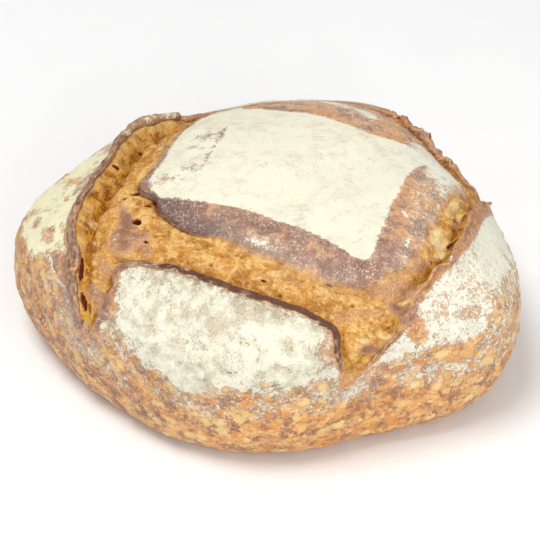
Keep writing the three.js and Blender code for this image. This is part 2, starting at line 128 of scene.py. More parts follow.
SWELL = (42, 1.6)  # size and height of the slow unevenness of the skin
RIPPLE = (15, 0.6)
CRAG = (10, 1.5)
# how many, radii, heights, and the plan distances from the crown between which they lie
BLISTERS = SimpleNamespace(count=110, radius=(3.2, 6), height=(0.8, 1.5), inner=112, outer=186)
CURLS = ((104, 30, 1, 2.2, 1, 1), (114, 9, 1.2, 3, 2, 1))  # x, y, radius, height, lean

# ---- Looks of the crust, in the dough plan (mm) ----

TEAR_WAYS = (158, 72, 58)  # degrees: which way the crumb is torn in front, at the left and at the right

# Ellipses, as plan point, half length, half width, angle of the length in degrees, and a value.
# Holes and slots torn in the crumb, with their depth; the crust's colour also puts painted shade in them
HOLES = (
    (-68, -13, 3.1, 2.3, 100, 5), (-69.4, 12, 2.1, 1.7, 20, 2.4), (-64, 11.5, 2.3, 1.7, 30, 2.4),
    (-61.8, 0, 1.9, 1.5, 10, 2.4), (-73.4, 7.3, 1.4, 1.2, 0, 2), (-57.5, 2, 1.5, 1.1, 60, 2.2),
    (-67, -29, 1.6, 1.2, 100, 3), (-75, 64, 1.8, 1.3, 50, 3), (-77, 40, 1.5, 1.1, 60, 2),
    (-104.6, -66, 8, 0.6, 86, 3), (-108, -81.5, 3, 0.6, 68, 2), (-101.3, -42, 10, 0.45, 75, 2),
    (-89.6, 18, 1.6, 0.4, 80, 1.6), (-84, 38, 1.4, 0.4, 72, 1.6), (-72.5, 76, 1.8, 0.5, 55, 2),
    (82, -22, 2.6, 1.3, 50, 2.5), (70, -62, 2, 0.8, 60, 2), (29.5, -63, 2.2, 0.8, 160, 1.5),
    (-6, -62, 2, 0.8, 160, 1.5),
)
# Patches of flour: whether they lie on the panels outside the opening, share of the skin that they cover,
# width over which they thin out inside the edge, patchiness, yellowness, greyness of the smudges (partly
# grey flour, partly painted shade, most on the front panel), outline
FLOUR = (
    (False, 1, 2.5, 0, 0.35, 0.2, (
        (-48, -2), (-36, -8), (-24, -12), (-10, -18), (-2, -22), (16, -31), (28, -38), (41, -46), (45, -38),
        (46, -24), (54, -9), (64, 8), (74, 26), (86, 38), (98, 40), (86, 53), (71, 58), (51, 58), (35, 64),
        (24, 73), (10, 85), (-8, 94), (-20, 92), (-28, 58), (-35, 36), (-42, 10))),
    (False, 1, 4, 0.55, 0.4, 0.2, (
        (-56, 0), (-42, -2), (-34, 30), (-26, 60), (-14, 96), (-24, 108), (-42, 98), (-50, 76), (-57, 55),
        (-60, 38), (-64, 26), (-64, 14))),
    (False, 0.9, 5, 0.4, 0.15, 0.3, (
        (0, 112), (16, 106), (30, 92), (44, 76), (54, 70), (56, 80), (40, 96), (20, 110))),
    (False, 0.2, 6, 0.5, 0.15, 0.3, (
        (10, 88), (36, 66), (52, 60), (74, 60), (92, 56), (86, 70), (62, 88), (28, 106), (-10, 112))),
    (False, 1, 10, 0.4, 0.1, 0.2, (
        (76, 24), (90, 12), (102, 18), (113, 30), (111, 44), (98, 60), (88, 68), (70, 62), (80, 42))),
    (False, 0.3, 8, 0.6, 0.1, 0, (
        (46, -44), (54, -56), (84, -20), (110, 10), (116, 30), (84, 42), (62, 4))),
    (False, 0.2, 8, 0.6, 0.1, 0, (
        (-30, -18), (-4, -30), (30, -46), (46, -52), (42, -66), (4, -54), (-20, -42), (-40, -30))),
    (True, 1, 9, 0.75, 1, 0.1, (
        (-70, 96), (-98, 94), (-122, 74), (-136, 42), (-139, 8), (-134, -14), (-122, -34), (-104, -34),
        (-80, -8), (-74, 20), (-68, 50))),
    (True, 0.75, 5, 0.3, 0.5, 0.3, (
        (-108, -32), (-112, -36), (-117, -50), (-118, -64), (-114, -60), (-111, -44))),
    (True, 1, 15, 0.25, 0.2, 1, (
        (-82, -38), (-60, -38), (-20, -55), (10, -66), (44, -80), (54, -96), (54, -118), (50, -132),
        (34, -138), (20, -143), (5, -147), (-12, -150), (-37, -149), (-59, -141), (-74, -128), (-84, -112),
        (-94, -94), (-96, -78), (-90, -54))),
    (True, 1, 10, 0.2, 0.2, 0.3, (
        (-50, -116), (-20, -104), (10, -98), (34, -112), (34, -130), (4, -144), (-36, -146), (-62, -136))),
    (True, 0.44, 14, 0.5, 0.2, 0.8, (
        (-100, -70), (-98, -110), (-84, -138), (-50, -160), (0, -166), (50, -156), (80, -140), (60, -110))),
    (True, 0.34, 16, 0.5, 0.2, 0.2, (
        (-106, -34), (-128, -30), (-146, -60), (-140, -96), (-116, -124), (-90, -146), (-80, -120),
        (-100, -80))),
    (True, 0.66, 9, 0.35, 0.12, 0.2, (
        (112, 36), (140, 20), (150, -8), (144, -40), (124, -58), (108, -78), (92, -100), (72, -118),
        (48, -130), (46, -98), (50, -76), (52, -52), (58, -30), (70, -6), (94, 20))),
    (True, 0.95, 14, 0.2, 0.12, 0.2, (
        (84, -24), (112, 36), (134, 22), (140, -8), (132, -36), (112, -42))),
    (True, 0.45, 18, 0.5, 0.12, 0.2, (
        (112, 36), (156, 30), (168, -10), (160, -52), (144, -82), (126, -108), (102, -130), (70, -140),
        (48, -130), (50, -76), (60, -30), (94, 10))),
    (True, 1, 18, 0.4, 0.2, 0.3, (
        (-40, 110), (20, 108), (60, 84), (92, 66), (104, 90), (82, 124), (42, 144), (0, 150), (-36, 142))),
)
# Spots of flour, with the share that they cover
SPOTS = (
    (-7, -38, 11, 4, 152, 0.42), (-10, -36, 5, 2.4, 150, 0.5), (-80, -22, 3, 1.6, 60, 0.6),
    (-72, -26, 2.5, 1.5, 120, 0.6), (-56, 78, 10, 2, 20, 0.5), (-68, 71, 8, 2, 40, 0.45),
    (-84, 58, 8, 1.6, 60, 0.4), (82, 2, 3, 1.4, 60, 0.8), (60, -10, 2.5, 1.2, 100, 0.8),
    (57, -27, 2.5, 1.3, 80, 0.8), (88, 16, 7, 4, 60, 0.6), (-57.5, 97, 7, 2.4, 50, 0.42),
    (-68, 84, 8, 2, 57, 0.34), (-77, 69, 7, 1.6, 60, 0.3), (-96, -70, 3, 1.3, 80, 0.7),
    (-94, -66, 16, 4, 96, 0.28), (-98, -58, 3.5, 1.6, 80, 0.7), (-94, -86, 4, 1.6, 60, 0.7),
    (70, -68, 2.2, 1.2, 30, 0.6), (-90, -44, 3, 1.5, 100, 0.6), (75, -38, 2, 1, 100, 0.6),
    (-100, 6, 2, 1, 90, 0.5),
)
# Places where the flour on the panels is thin, with the share that is missing
THIN = (
    (33, -108, 10, 7, 110, 0.6), (-114, -10, 6, 4, 60, 0.8), (-121, 1, 5, 3, 80, 0.7),
    (-121, 54, 6, 3, 60, 0.6), (-108, 75, 6, 4, 60, 0.6), (-95, 40, 5, 2.5, 80, 0.6),
    (-110, -28, 6, 4, 100, 0.7), (105, -60, 9, 5, 60, 0.5), (122, -48, 8, 5, 80, 0.5),
    (95, -95, 12, 6, 30, 0.5), (-20, -140, 14, 5, 0, 0.6), (4, -134, 8, 4, 0, 0.5),
    (-90, -76, 5, 7, 90, 0.6), (88, -66, 7, 4, 60, 0.4), (72, -84, 10, 4, 118, 1),
    (112, -24, 6, 4, 60, 0.4), (-64, -128, 10, 5, 140, 0.5),
)
# Pale hollows where the crumb tore open deepest, with their depth
HOLLOWS = (
    (93, 4, 10, 6.5, 48, 2.2), (105, 12, 6, 4, 30, 1.6), (74, -22, 9, 6, 55, 2.4), (66, -56, 8, 4.5, 74, 2),
    (63, -66, 5, 3, 70, 1.6), (58, -94, 7, 3.6, 110, 2), (49, -101, 7, 3, 150, 2),
    (-79, 41, 4.5, 2.4, 70, 0.9), (-92, -20, 5, 2.4, 80, 1.2), (-89, -5, 3.5, 2, 80, 0.9),
    (30, -64, 5, 1.6, 160, 1.2), (-6, -61, 5, 1.5, 160, 1.2),
)
# Brown skin left on the opened crumb, and browner crumb, with its strength
STAINS = (
    (-72.5, -11, 12, 3.6, 103, 1.3), (-77.5, -25, 11, 8.5, 80, 1.1), (-68, -30, 9, 3.5, 90, 0.9),
    (56, -58, 12, 8, 60, 0.8), (62, -38, 8, 4, 60, 0.9), (44, -84, 18, 7, 20, 0.5),
    (10, -62, 24, 5, 160, 0.4), (30, -70, 16, 5, 160, 0.4), (56, -106, 8, 3.5, 20, 1),
    (63, -74, 8, 4.5, 118, 1.1), (-97, -66, 17, 5, 96, 0.8), (-91, -42, 10, 5, 90, 0.6),
    (90, -6, 7, 2, 45, 0.6), (-36, -52, 16, 3, 155, 0.3), (-62, 60, 9, 4, 70, 0.5),
    (-54, 84, 8, 4, 70, 0.7),
)

LEAF = (-109, -42, 20, 6, 98, 1.5)  # a long leaf of skin beside the left cut, with its height

# Mesh
ROW_STEP = 0.85
LIP_ROWS = (3, 2.2, 1.5, 0.9, 0.4, 0, -0.3, -0.6, -0.9, -1.25, -1.6, -1.95, -2.3, -2.7, -3.1, -3.5, -4, -4.5)
RIM_ROWS = (-1.8, -1.1, -0.5, 0, 0.45, 0.9, 1.4, 2)
CRUMB_SPACING = 0.82
SKIN_SPACING = 0.93  # beside the lips; farther off it is coarser by steps of the square root of 2
PANEL_SPACING = 1.32
PLATEAU_SPACING = 1.8
LOW_SPACING = 2.6
LATTICE_SHAKE = 0.22  # of the spacing
BASE_POINTS = 420
BASE_SPACING = 5
CURL_RINGS = (0, 0.35, 0.7, 1.05, 1.4, 1.8)
CURL_POINTS = 12  # in each ring

# ---- Small maths ----


def smooth(x):
    x = np.clip(x, 0, 1)
    return x * x * (3 - 2 * x)


def ramp(x, start, end):
    """A smooth step from 0 to 1 as x goes from start to end."""
    return smooth((x - start) / (end - start))


def mix(a, b, t):
    return a + (b - a) * t


def bell(distance, reach):
    return np.exp(-((distance / reach) ** 2))


def scatter_value(i, j, k):
    """Repeatable pseudo-random numbers from 0 to 1 for three whole numbers."""
    wave = np.sin(i * 127.1 + j * 311.7 + k * 74.7) * 43758.5453
    return wave - np.floor(wave)


def lumps(points, size, seed):
    """Smooth noise from -1 to 1 at 3-D points, with lumps of the given size, one number or one an axis."""
    scaled = points / np.array(size, float) + seed * np.array([1, 1.7, 2.3])
    cell = np.floor(scaled)
    ease = smooth(scaled - cell)
    total = 0
    for corner in range(8):
        offset = np.array([corner & 1, (corner >> 1) & 1, corner >> 2])
        weight = np.prod(np.where(offset, ease, 1 - ease), axis=1)
        total = total + weight * scatter_value(*(cell + offset).T)
    return 2 * total - 1


def ridges(points, size, seed):
    """Noise from 0 to 1 with sharp crests."""
    return 1 - np.abs(lumps(points, size, seed))


def drift(points, size, *seeds):
    """Noise to shift points by, a column for each seed."""
    return np.stack([lumps(points, size, seed) for seed in seeds], axis=1)


def bubbles(points, size, seed):
    """Each point's distance to the nearest scattered centre, in sizes, and the centre's random value."""
    scaled = points / size
    cell = np.floor(scaled)
    nearest = np.full(len(points), np.inf)
    value = np.zeros(len(points))
    for k in range(27):
        home = cell + np.array([k % 3, k // 3 % 3, k // 9]) - 1
        i, j, level = home.T
        spot = home + np.stack([scatter_value(i, j, level * 3 + seed + part) for part in (0, 1, 2)], axis=1)
        distance = np.linalg.norm(scaled - spot, axis=1)
        closer = distance < nearest
        nearest = np.where(closer, distance, nearest)
        value = np.where(closer, scatter_value(j, level, i * 5 + seed), value)
    return nearest, value


def flat_points(*columns):
    """3-D points from up to three columns, the others 0."""
    blank = np.zeros(len(columns[0]))
    return np.column_stack([*columns, blank, blank][:3])


def square_grid(reach):
    """The whole-number places of a square grid, row by row, as two columns."""
    steps = np.arange(-reach, reach + 1)
    return [values.ravel() for values in np.meshgrid(steps, steps, indexing="ij")]


def circle(x, y, radius, count, turned=0):
    angle = np.arange(count) / count * 2 * math.pi + turned
    return np.stack([x + radius * np.cos(angle), y + radius * np.sin(angle)], axis=1)


# ---- The body, and the wrap from the dough plan on to it ----


def make_profile(steps=400):
    angle = np.linspace(0, math.pi / 2, steps + 1)
    dome = np.maximum(np.cos(angle), 0) ** (2 / DOME_POWER)
    share = np.concatenate([np.sin(angle) ** (2 / DOME_POWER), mix(BASE_SHARE, 1, np.cos(angle[1:]))])
    height = np.concatenate([mix(WAIST_HEIGHT, HEIGHT, dome), WAIST_HEIGHT * (1 - np.sin(angle[1:]))])
    arc = np.concatenate([[0], np.cumsum(np.hypot(np.diff(share) * MEAN_RADIUS, np.diff(height)))])
    return share, height, arc


SHARES, HEIGHTS, ARCS = make_profile()
PLAN_RADIUS = ARCS[-1]
WAIST_ARC = ARCS[len(ARCS) // 2]


def catmull(a, b, c, d, t):
    return 0.5 * (2 * b + (c - a) * t + (2 * a - 5 * b + 4 * c - d) * t**2 + (3 * b - a - 3 * c + d) * t**3)


def waist_radius(angle):
    count = len(WAIST_RADII)
    radii = np.array(WAIST_RADII, float)
    turn = (angle / (2 * math.pi) * count) % count
    start = np.floor(turn).astype(int)
    return catmull(*(radii[(start + k) % count] for k in (-1, 0, 1, 2)), turn - start)


def body(plan):
    """Points of the smooth body under plan points."""
    x, y = plan.T
    angle = np.arctan2(y, x)
    arc = np.hypot(x, y)
    height = np.interp(arc, ARCS, HEIGHTS)
    radius = waist_radius(angle) * np.interp(arc, ARCS, SHARES)
    lean = smooth((height - WAIST_HEIGHT) / (HEIGHT - WAIST_HEIGHT))
    return np.stack([
        radius * np.cos(angle) + CROWN_SHIFT[0] * lean + PLAN_SHIFT[0],
        radius * np.sin(angle) + CROWN_SHIFT[1] * lean + PLAN_SHIFT[1],
        height,
    ], axis=1)


def body_normal(plan, step=0.5):
    along_x = body(plan + (step, 0)) - body(plan - (step, 0))
    along_y = body(plan + (0, step)) - body(plan - (0, step))
    normal = np.cross(along_x, along_y)
    return normal / np.linalg.norm(normal, axis=1, keepdims=True)


# ---- Closed lines and fields in the dough plan ----


class ClosedLine:
    """A smooth closed line through plan corners, as evenly spaced points with outward normals."""

    def __init__(self, corners, step):
        corners = np.array(corners, float)
        turn = np.linspace(0, 1, 24, endpoint=False)[:, None]
        pieces = []
        for i in range(len(corners)):
            a, b, c, d = (corners[(i + k) % len(corners)] for k in (-1, 0, 1, 2))
            pieces.append(catmull(a, b, c, d, turn))
        dense = np.concatenate(pieces + [corners[:1]])
        along = np.concatenate([[0], np.cumsum(np.linalg.norm(np.diff(dense, axis=0), axis=1))])
        self.length = along[-1]
        self.count = round(self.length / step)
        places = np.linspace(0, self.length, self.count, endpoint=False)
        self.points = np.stack([np.interp(places, along, dense[:, axis]) for axis in (0, 1)], axis=1)
        tangent = np.roll(self.points, -1, axis=0) - np.roll(self.points, 1, axis=0)
        tangent /= np.linalg.norm(tangent, axis=1, keepdims=True)
        self.normals = np.stack([tangent[:, 1], -tangent[:, 0]], axis=1)

    def locate(self, plan, chunk=3000):
        """Signed distance of plan points, above 0 outside, outward direction, and place along the line."""
        parts = [self._locate(plan[i:i + chunk]) for i in range(0, len(plan), chunk)]
        return tuple(np.concatenate(values) for values in zip(*parts))

    def _locate(self, plan):
        start = self.points
        end = np.roll(start, -1, axis=0)
        side = end - start
        gap = plan[:, None, :] - start
        share = np.clip((gap * side).sum(2) / (side * side).sum(1), 0, 1)
        gap -= side * share[..., None]
        squared = (gap * gap).sum(2)
        best = squared.argmin(axis=1)
        rows = np.arange(len(plan))
        t = share[rows, best]
        outward = mix(self.normals[best], self.normals[(best + 1) % self.count], t[:, None])
        outward /= np.linalg.norm(outward, axis=1, keepdims=True)
        x, y = plan[:, :1], plan[:, 1:]
        rise = np.where(side[:, 1] == 0, 1, side[:, 1])
        crossing = start[:, 0] + (y - start[:, 1]) / rise * side[:, 0]
        hits = ((start[:, 1] > y) != (end[:, 1] > y)) & (x < crossing)
        distance = np.sqrt(squared[rows, best])
        signed = np.where(hits.sum(1) % 2 == 1, -distance, distance)
        return signed, outward, (best + t) * self.length / self.count

    def distance_on_grid(self, plan, step):
        """Signed distance read off a square grid, quicker than locate and nearly as exact."""
        reach = math.ceil(PLAN_RADIUS / step) + 1
        grid = np.stack(square_grid(reach), axis=1) * step
        values = self.locate(grid)[0].reshape(2 * reach + 1, -1)
        place = plan / step + reach
        i, j = np.floor(place).astype(int).T
        s, t = (place % 1).T
        return mix(mix(values[i, j], values[i + 1, j], s), mix(values[i, j + 1], values[i + 1, j + 1], s), t)


def blend_rows(names, table, plan):
    """The values of a table at plan points: an average of its rows, the near ones counting most."""
    rows = np.array(table, float)
    weight = bell(np.linalg.norm(plan[:, None, :] - rows[:, :2], axis=2), FIELD_REACH) + 1e-6
    values = weight @ rows[:, 2:] / weight.sum(1, keepdims=True)
    return SimpleNamespace(**dict(zip(names[2:], values.T)))


def ellipses(plan, rows):
    """For each row of a table the points' distance, 1 at the ellipse's edge, and the row's value."""
    for x, y, half_length, half_width, degrees, value in rows:
        turn = math.radians(degrees)
        dx, dy = plan[:, 0] - x, plan[:, 1] - y
        along = dx * math.cos(turn) + dy * math.sin(turn)
        across = dy * math.cos(turn) - dx * math.sin(turn)
        yield np.hypot(along / half_length, across / half_width), value


def spread(plan, rows, edge, sharpness=1):
    """The largest value of the ellipses that points lie in, fading out at the edge."""
    total = np.zeros(len(plan))
    for distance, value in ellipses(plan, rows):
        total = np.maximum(total, value * smooth((edge - distance) * sharpness))
    return total


OPENING_LINE = ClosedLine(OPENING, 2)
PLATEAU_LINE = ClosedLine(PLATEAU, 2)

# ---- Plan points and their triangles ----


def row_points(line, corners, offset):
    """Points at one distance from a line, without those that another stretch comes near."""
    fine = ClosedLine(corners, ROW_STEP)
    points = fine.points + fine.normals * offset
    distance = line.locate(points)[0]
    return points[np.abs(distance) > 0.9 * abs(offset) - 0.05]


def lattice(finest, wanted_spacing):
    """Points of nested square lattices: at each place the coarsest that is fine enough there."""
    i, j = square_grid(math.ceil(PLAN_RADIUS / finest))
    plan = np.stack([i, j], axis=1) * finest
    inside = np.hypot(*plan.T) < PLAN_RADIUS - LOW_SPACING * 0.7
    plan, i, j = plan[inside], i[inside], j[inside]
    held = np.full(len(plan), float(finest))
    a, b, even = i, j, np.ones(len(plan), bool)
    for _ in range(5):
        even = even & ((a + b) % 2 == 0)
        a, b = (a + b) // 2, (a - b) // 2
        held = np.where(even, held * math.sqrt(2), held)
    kept = held > wanted_spacing(plan) / 1.19
    plan, held, i, j = plan[kept], held[kept], i[kept], j[kept]
    shake = np.stack([scatter_value(i, j, 1), scatter_value(i, j, 2)], axis=1) * 2 - 1
    return plan + LATTICE_SHAKE * held[:, None] * shake, held


def crumb_spacing(plan):
    in_crumb = (OPENING_LINE.distance_on_grid(plan, 2) < 1) & (PLATEAU_LINE.distance_on_grid(plan, 2) > -1)
    return np.where(in_crumb, CRUMB_SPACING, np.inf)


def skin_spacing(plan):
    to_opening = OPENING_LINE.distance_on_grid(plan, 2)
    to_plateau = PLATEAU_LINE.distance_on_grid(plan, 2)
    panel = mix(SKIN_SPACING, PANEL_SPACING, ramp(to_opening, 3, 9))
    low = smooth((np.hypot(*plan.T) - WAIST_ARC) / (PLAN_RADIUS - WAIST_ARC) * 1.6)
    plateau = mix(SKIN_SPACING, PLATEAU_SPACING, smooth((-to_plateau - 3) / 8))
    spacing = np.where(to_opening > -1, mix(panel, LOW_SPACING, low), plateau)
    return np.where((to_opening < -1) & (to_plateau > 1), np.inf, spacing)


def make_plan():
    """The base's edge, rows along both lines, rings round the curls, and lattices between them."""
    groups = [circle(0, 0, PLAN_RADIUS, BASE_POINTS)]
    groups += [row_points(OPENING_LINE, OPENING, offset) for offset in LIP_ROWS]
    for offset in RIM_ROWS:
        row = row_points(PLATEAU_LINE, PLATEAU, offset)
        groups.append(row[OPENING_LINE.locate(row)[0] < LIP_ROWS[-1] - 0.3])
    lattices = ((True, CRUMB_SPACING, crumb_spacing), (False, SKIN_SPACING, skin_spacing))
    for in_crumb, finest, wanted in lattices:
        plan, held = lattice(finest, wanted)
        to_opening = OPENING_LINE.locate(plan)[0]
        to_plateau = PLATEAU_LINE.locate(plan)[0]
        room = 0.6 * held
        clear = (to_opening > LIP_ROWS[0] + room) | (to_opening < LIP_ROWS[-1] - room)
        clear &= (to_plateau > RIM_ROWS[-1] + room) | (to_plateau < RIM_ROWS[0] - room)
        clear &= ((to_opening < 0) & (to_plateau > 0)) == in_crumb
        for x, y, *_ in CURLS:
            clear &= np.hypot(plan[:, 0] - x, plan[:, 1] - y) > CURL_RINGS[-1] + 0.4
        groups.append(plan[clear])
    for x, y, *_ in CURLS:
        groups += [circle(x, y, radius, CURL_POINTS, turned=9 * radius) for radius in CURL_RINGS]
    return np.concatenate(groups)


def triangulate(plan):
    """Delaunay triangles of plan points, counterclockwise, with points that fall together joined."""
    points, _, faces, *_ = delaunay_2d_cdt([Vector(p) for p in plan], [], [], 0, 1e-3)
    points = np.array([tuple(p) for p in points])
    faces = np.array(faces)
    a, b, c = (points[faces[:, k]] for k in range(3))
    area = (b[:, 0] - a[:, 0]) * (c[:, 1] - a[:, 1]) - (b[:, 1] - a[:, 1]) * (c[:, 0] - a[:, 0])
    faces[area < 0] = faces[area < 0][:, ::-1]
    return points, faces[np.abs(area) > 1e-7]


# ---- The surface over the body ----


def survey(plan):
    """What the surface and its masks need to know about plan points."""
    tips = np.array(CUT_TIPS, float)
    site = SimpleNamespace(plan=plan, flat=flat_points(*plan.T), under=body(plan))
    site.arc = np.hypot(*plan.T)
    site.opened = smooth(np.linalg.norm(plan[:, None, :] - tips, axis=2) / TIP_FADE).prod(axis=1)
    site.lip = blend_rows(LIP_NAMES, LIPS, plan)
    for name in ("ear", "thick", "lean", "trench", "crumb"):
        setattr(site.lip, name, getattr(site.lip, name) * site.opened)
    site.rim = blend_rows(RIM_NAMES, RIMS, plan)
    site.to_opening, site.outward, site.along = OPENING_LINE.locate(plan)
    site.lip.thick = site.lip.thick * (1 + 0.35 * lumps(flat_points(site.along), 11, 88))
    site.depth_in = -site.to_opening
    site.outside = site.to_opening >= 0
    site.ripple = drift(site.flat, 5, 63, 64)
    site.blurred = ramp(site.rim.step, LOW_STEP, LOW_STEP - 1.2)
    wobble = 1.8 * lumps(site.flat, 7, 61) + 0.9 * lumps(site.flat, 2.8, 62)
    jagged = 0.8 * lumps(site.flat, 3, 65) + 0.5 * lumps(site.flat, 1.5, 66)
    edge = mix(jagged, wobble, ramp(site.rim.step, 2, 0.8))
    site.to_plateau = PLATEAU_LINE.locate(plan)[0] + edge
    site.on_plateau = ~site.outside & (site.to_plateau <= 0)
    site.low_share = smooth((WAIST_HEIGHT * 1.6 - site.under[:, 2]) / WAIST_HEIGHT)
    past_rim = smooth((site.to_plateau + mix(-1, BLUR, site.blurred)) / mix(0.6, 2 * BLUR, site.blurred))
    torn = smooth((site.depth_in - LIP_EDGE * 0.9) / 0.5) * past_rim * smooth(site.opened * 3)
    site.torn = np.where(site.outside, 0, torn)
    blur = BLUR * site.blurred
    roughened = smooth((site.to_plateau + blur) / (LIP_FOOT + blur)) * site.opened
    site.in_crumb = site.torn * smooth((site.depth_in - LIP_EDGE) / LIP_FOOT) * roughened
    on_wall = smooth((site.depth_in - LIP_EDGE) / 0.8) * smooth(1 - (site.depth_in - LIP_FOOT) / 4)
    site.on_wall = site.torn * on_wall
    site.near_edge = bell(site.to_opening, RAGGED_REACH) * site.opened
    site.high_rim = ramp(site.rim.step, 1.8, 3.3)
    site.on_left = ramp(plan[:, 0], -20, -40)
    site.lip_place = flat_points(site.along)
    return site


def broad_form(site):
    """Height over the body and shift towards the cut, as in the CAD."""
    lip, rim = site.lip, site.rim
    rise = np.clip(1 - site.to_opening / lip.width, 0, 1) ** 2
    near_lip = bell(np.maximum(0, site.depth_in - LIP_FOOT), TRENCH_WIDTH)
    near_plateau = bell(site.to_plateau, RIM_TRENCH_WIDTH)
    ledge = -rim.bend - rim.step
    floor = lip.crumb - lip.trench * near_lip + (ledge - lip.crumb) * near_plateau * (1 - near_lip / 2)
    turn = np.clip(site.depth_in / LIP_EDGE, 0, 1) * math.pi
    down = np.clip((site.depth_in - LIP_EDGE) / (LIP_FOOT - LIP_EDGE), 0, 1)
    plateau = -rim.bend * np.clip(1 + site.to_plateau / rim.width, 0, 1) ** 2
    edge = PLATEAU_EDGE + 1.5 * BLUR * site.blurred
    crumb = mix(plateau, floor, smooth(site.to_plateau / edge))
    site.on_edge = ~site.outside & ~site.on_plateau & (site.depth_in <= LIP_EDGE)
    walled = ~site.outside & ~site.on_plateau & (site.depth_in < LIP_FOOT)
    cases = [site.outside, site.on_plateau, site.on_edge, walled]
    height = np.select(cases, [
        lip.ear * rise, plateau, lip.ear - lip.thick * (1 - np.cos(turn)) / 2,
        mix(lip.ear - lip.thick, floor, smooth(down)),
    ], crumb)
    inward = np.select(cases, [
        lip.lean * rise, 0 * rise, lip.lean + np.minimum(lip.thick, 3) / 2 * np.sin(turn) - site.depth_in,
        (lip.lean - LIP_EDGE) * (1 - down) ** 2,
    ], 0)
    return height, inward


def stretched(plan, degrees, long, short, seed):
    """Crests from 0 to 1 that run in one direction over the plan."""
    turn = math.radians(degrees)
    along = plan[:, 0] * math.cos(turn) + plan[:, 1] * math.sin(turn)
    across = plan[:, 1] * math.cos(turn) - plan[:, 0] * math.sin(turn)
    return ridges(flat_points(along, across), (long, short, 1), seed)


def crumb_relief(site):
    """Crags, torn strands and pores of the opened crumb; also the pores' mask, which the colour turns into
    painted shade in them.
    """
    bent = site.plan + 2.2 * drift(site.flat, 8, 51, 52)
    in_front = smooth((-30 - site.plan[:, 1] - 0.35 * site.plan[:, 0]) / 20)
    relief = CRAG[1] * (lumps(site.under, CRAG[0], 11) + 0.4 * lumps(site.under, CRAG[0] / 2, 17))
    for long, short, height, seed in ((15, 5, 1.3, 41), (7, 2.6, 0.8, 44), (3.6, 1.5, 0.3, 47)):
        front, left, right = (
            stretched(bent, degrees, long, short, seed + k) for k, degrees in enumerate(TEAR_WAYS))
        relief += height * (mix(mix(right, left, site.on_left), front, in_front * 0.7) - 0.7)
    shelf = lumps(flat_points(*bent.T), 7, 53)
    relief += 0.8 * (ramp(shelf, 0.05, 0.17) + ramp(shelf, -0.4, -0.28) - 1)
    relief += 0.22 * lumps(site.under, 1.5, 43)
    gap, value = bubbles(site.under, 5.2, 50)
    pore = smooth(1.3 - gap / (0.1 + 0.16 * value)) * (value > 0.6)
    return relief - 1.1 * pore, pore


def wall_strands(site):
    """How far strands and pockets of the torn wall stand out, in mm."""
    down = 3.4 * site.depth_in  # about the distance down the steep wall
    wall = flat_points(site.along + 1.2 * lumps(site.under, 9, 70), down + 1.5 * lumps(site.under, 7, 76))
    strands = ridges(wall, (7, 3.5, 1), 71) + 0.5 * ridges(wall, (3.4, 2.4, 1), 72) - 1
    pockets = smooth(-1.8 * lumps(wall, (6.5, 4.5, 1), 73) - 0.5)
    # the pockets' mask also carries painted shade into the crust's colour
    site.pockets = pockets * site.on_wall
    rough = 0.9 * lumps(wall, (5, 4, 1), 74) + 0.5 * lumps(wall, (2.4, 2.4, 1), 75)
    return (0.4 * strands - 1.2 * pockets + 0.9 * rough) * ramp(site.depth_in, 7, 3.5)


def skin_relief(site):
    """Unevenness and blisters of the skin; also the blisters' mask."""
    relief = SWELL[1] * lumps(site.under, SWELL[0], 3)
    relief += RIPPLE[1] * lumps(site.under, RIPPLE[0], 5) * mix(0.3, 1, site.low_share)
    for size, high_up, low_down, seed in ((6.5, 0.16, 0.4, 31), (2.8, 0.07, 0.2, 32)):
        relief += (1 - site.torn) * mix(high_up, low_down, site.low_share) * lumps(site.under, size, seed)
    zone = ramp(site.to_opening, 7, 16) * ramp(site.arc, 92, 132)
    blister = np.zeros(len(site.plan))
    warped = site.under + 1.1 * drift(site.under, 4, 91, 92, 93)
    for size, top, share, seed in ((8.5, 1.0, 0.45, 90), (5, 0.6, 0.3, 95)):
        gap, value = bubbles(warped, size, seed)
        dome = np.clip(1 - (gap / (0.2 + 0.24 * value)) ** 2, 0, 1) ** 0.6 * (value > share) * zone
        relief += top * dome * value
        blister = np.maximum(blister, dome)
    return relief, blister


def round_bumps(site):
    """Height and plan shift of the CAD's large blisters and of the curls."""
    rows = [(x, y, radius, height, (lean_x, lean_y)) for x, y, radius, height, lean_x, lean_y in CURLS]
    placed = []
    for i in range(BLISTERS.count):
        angle, share, size = (scatter_value(i, part, 7) for part in (1, 2, 3))
        arc = mix(BLISTERS.inner, BLISTERS.outer, share)
        x, y = arc * math.cos(angle * 2 * math.pi), arc * math.sin(angle * 2 * math.pi)
        radius, height = mix(*BLISTERS.radius, size**2), mix(*BLISTERS.height, size**2)
        apart = all(math.hypot(x - u, y - v) > 2 * (radius + r) for u, v, r in placed)
        if apart and OPENING_LINE.locate(np.array([[x, y]]))[0][0] > 14:
            placed.append((x, y, radius))
            rows.append((x, y, radius, height, (0, 0)))
    total = np.zeros(len(site.plan))
    shift = np.zeros_like(site.plan)
    for x, y, radius, height, lean in rows:
        share = np.clip(1 - (np.hypot(site.plan[:, 0] - x, site.plan[:, 1] - y) / radius) ** 2, 0, 1)
        total += height * share
        shift += share[:, None] * lean
    return total, shift


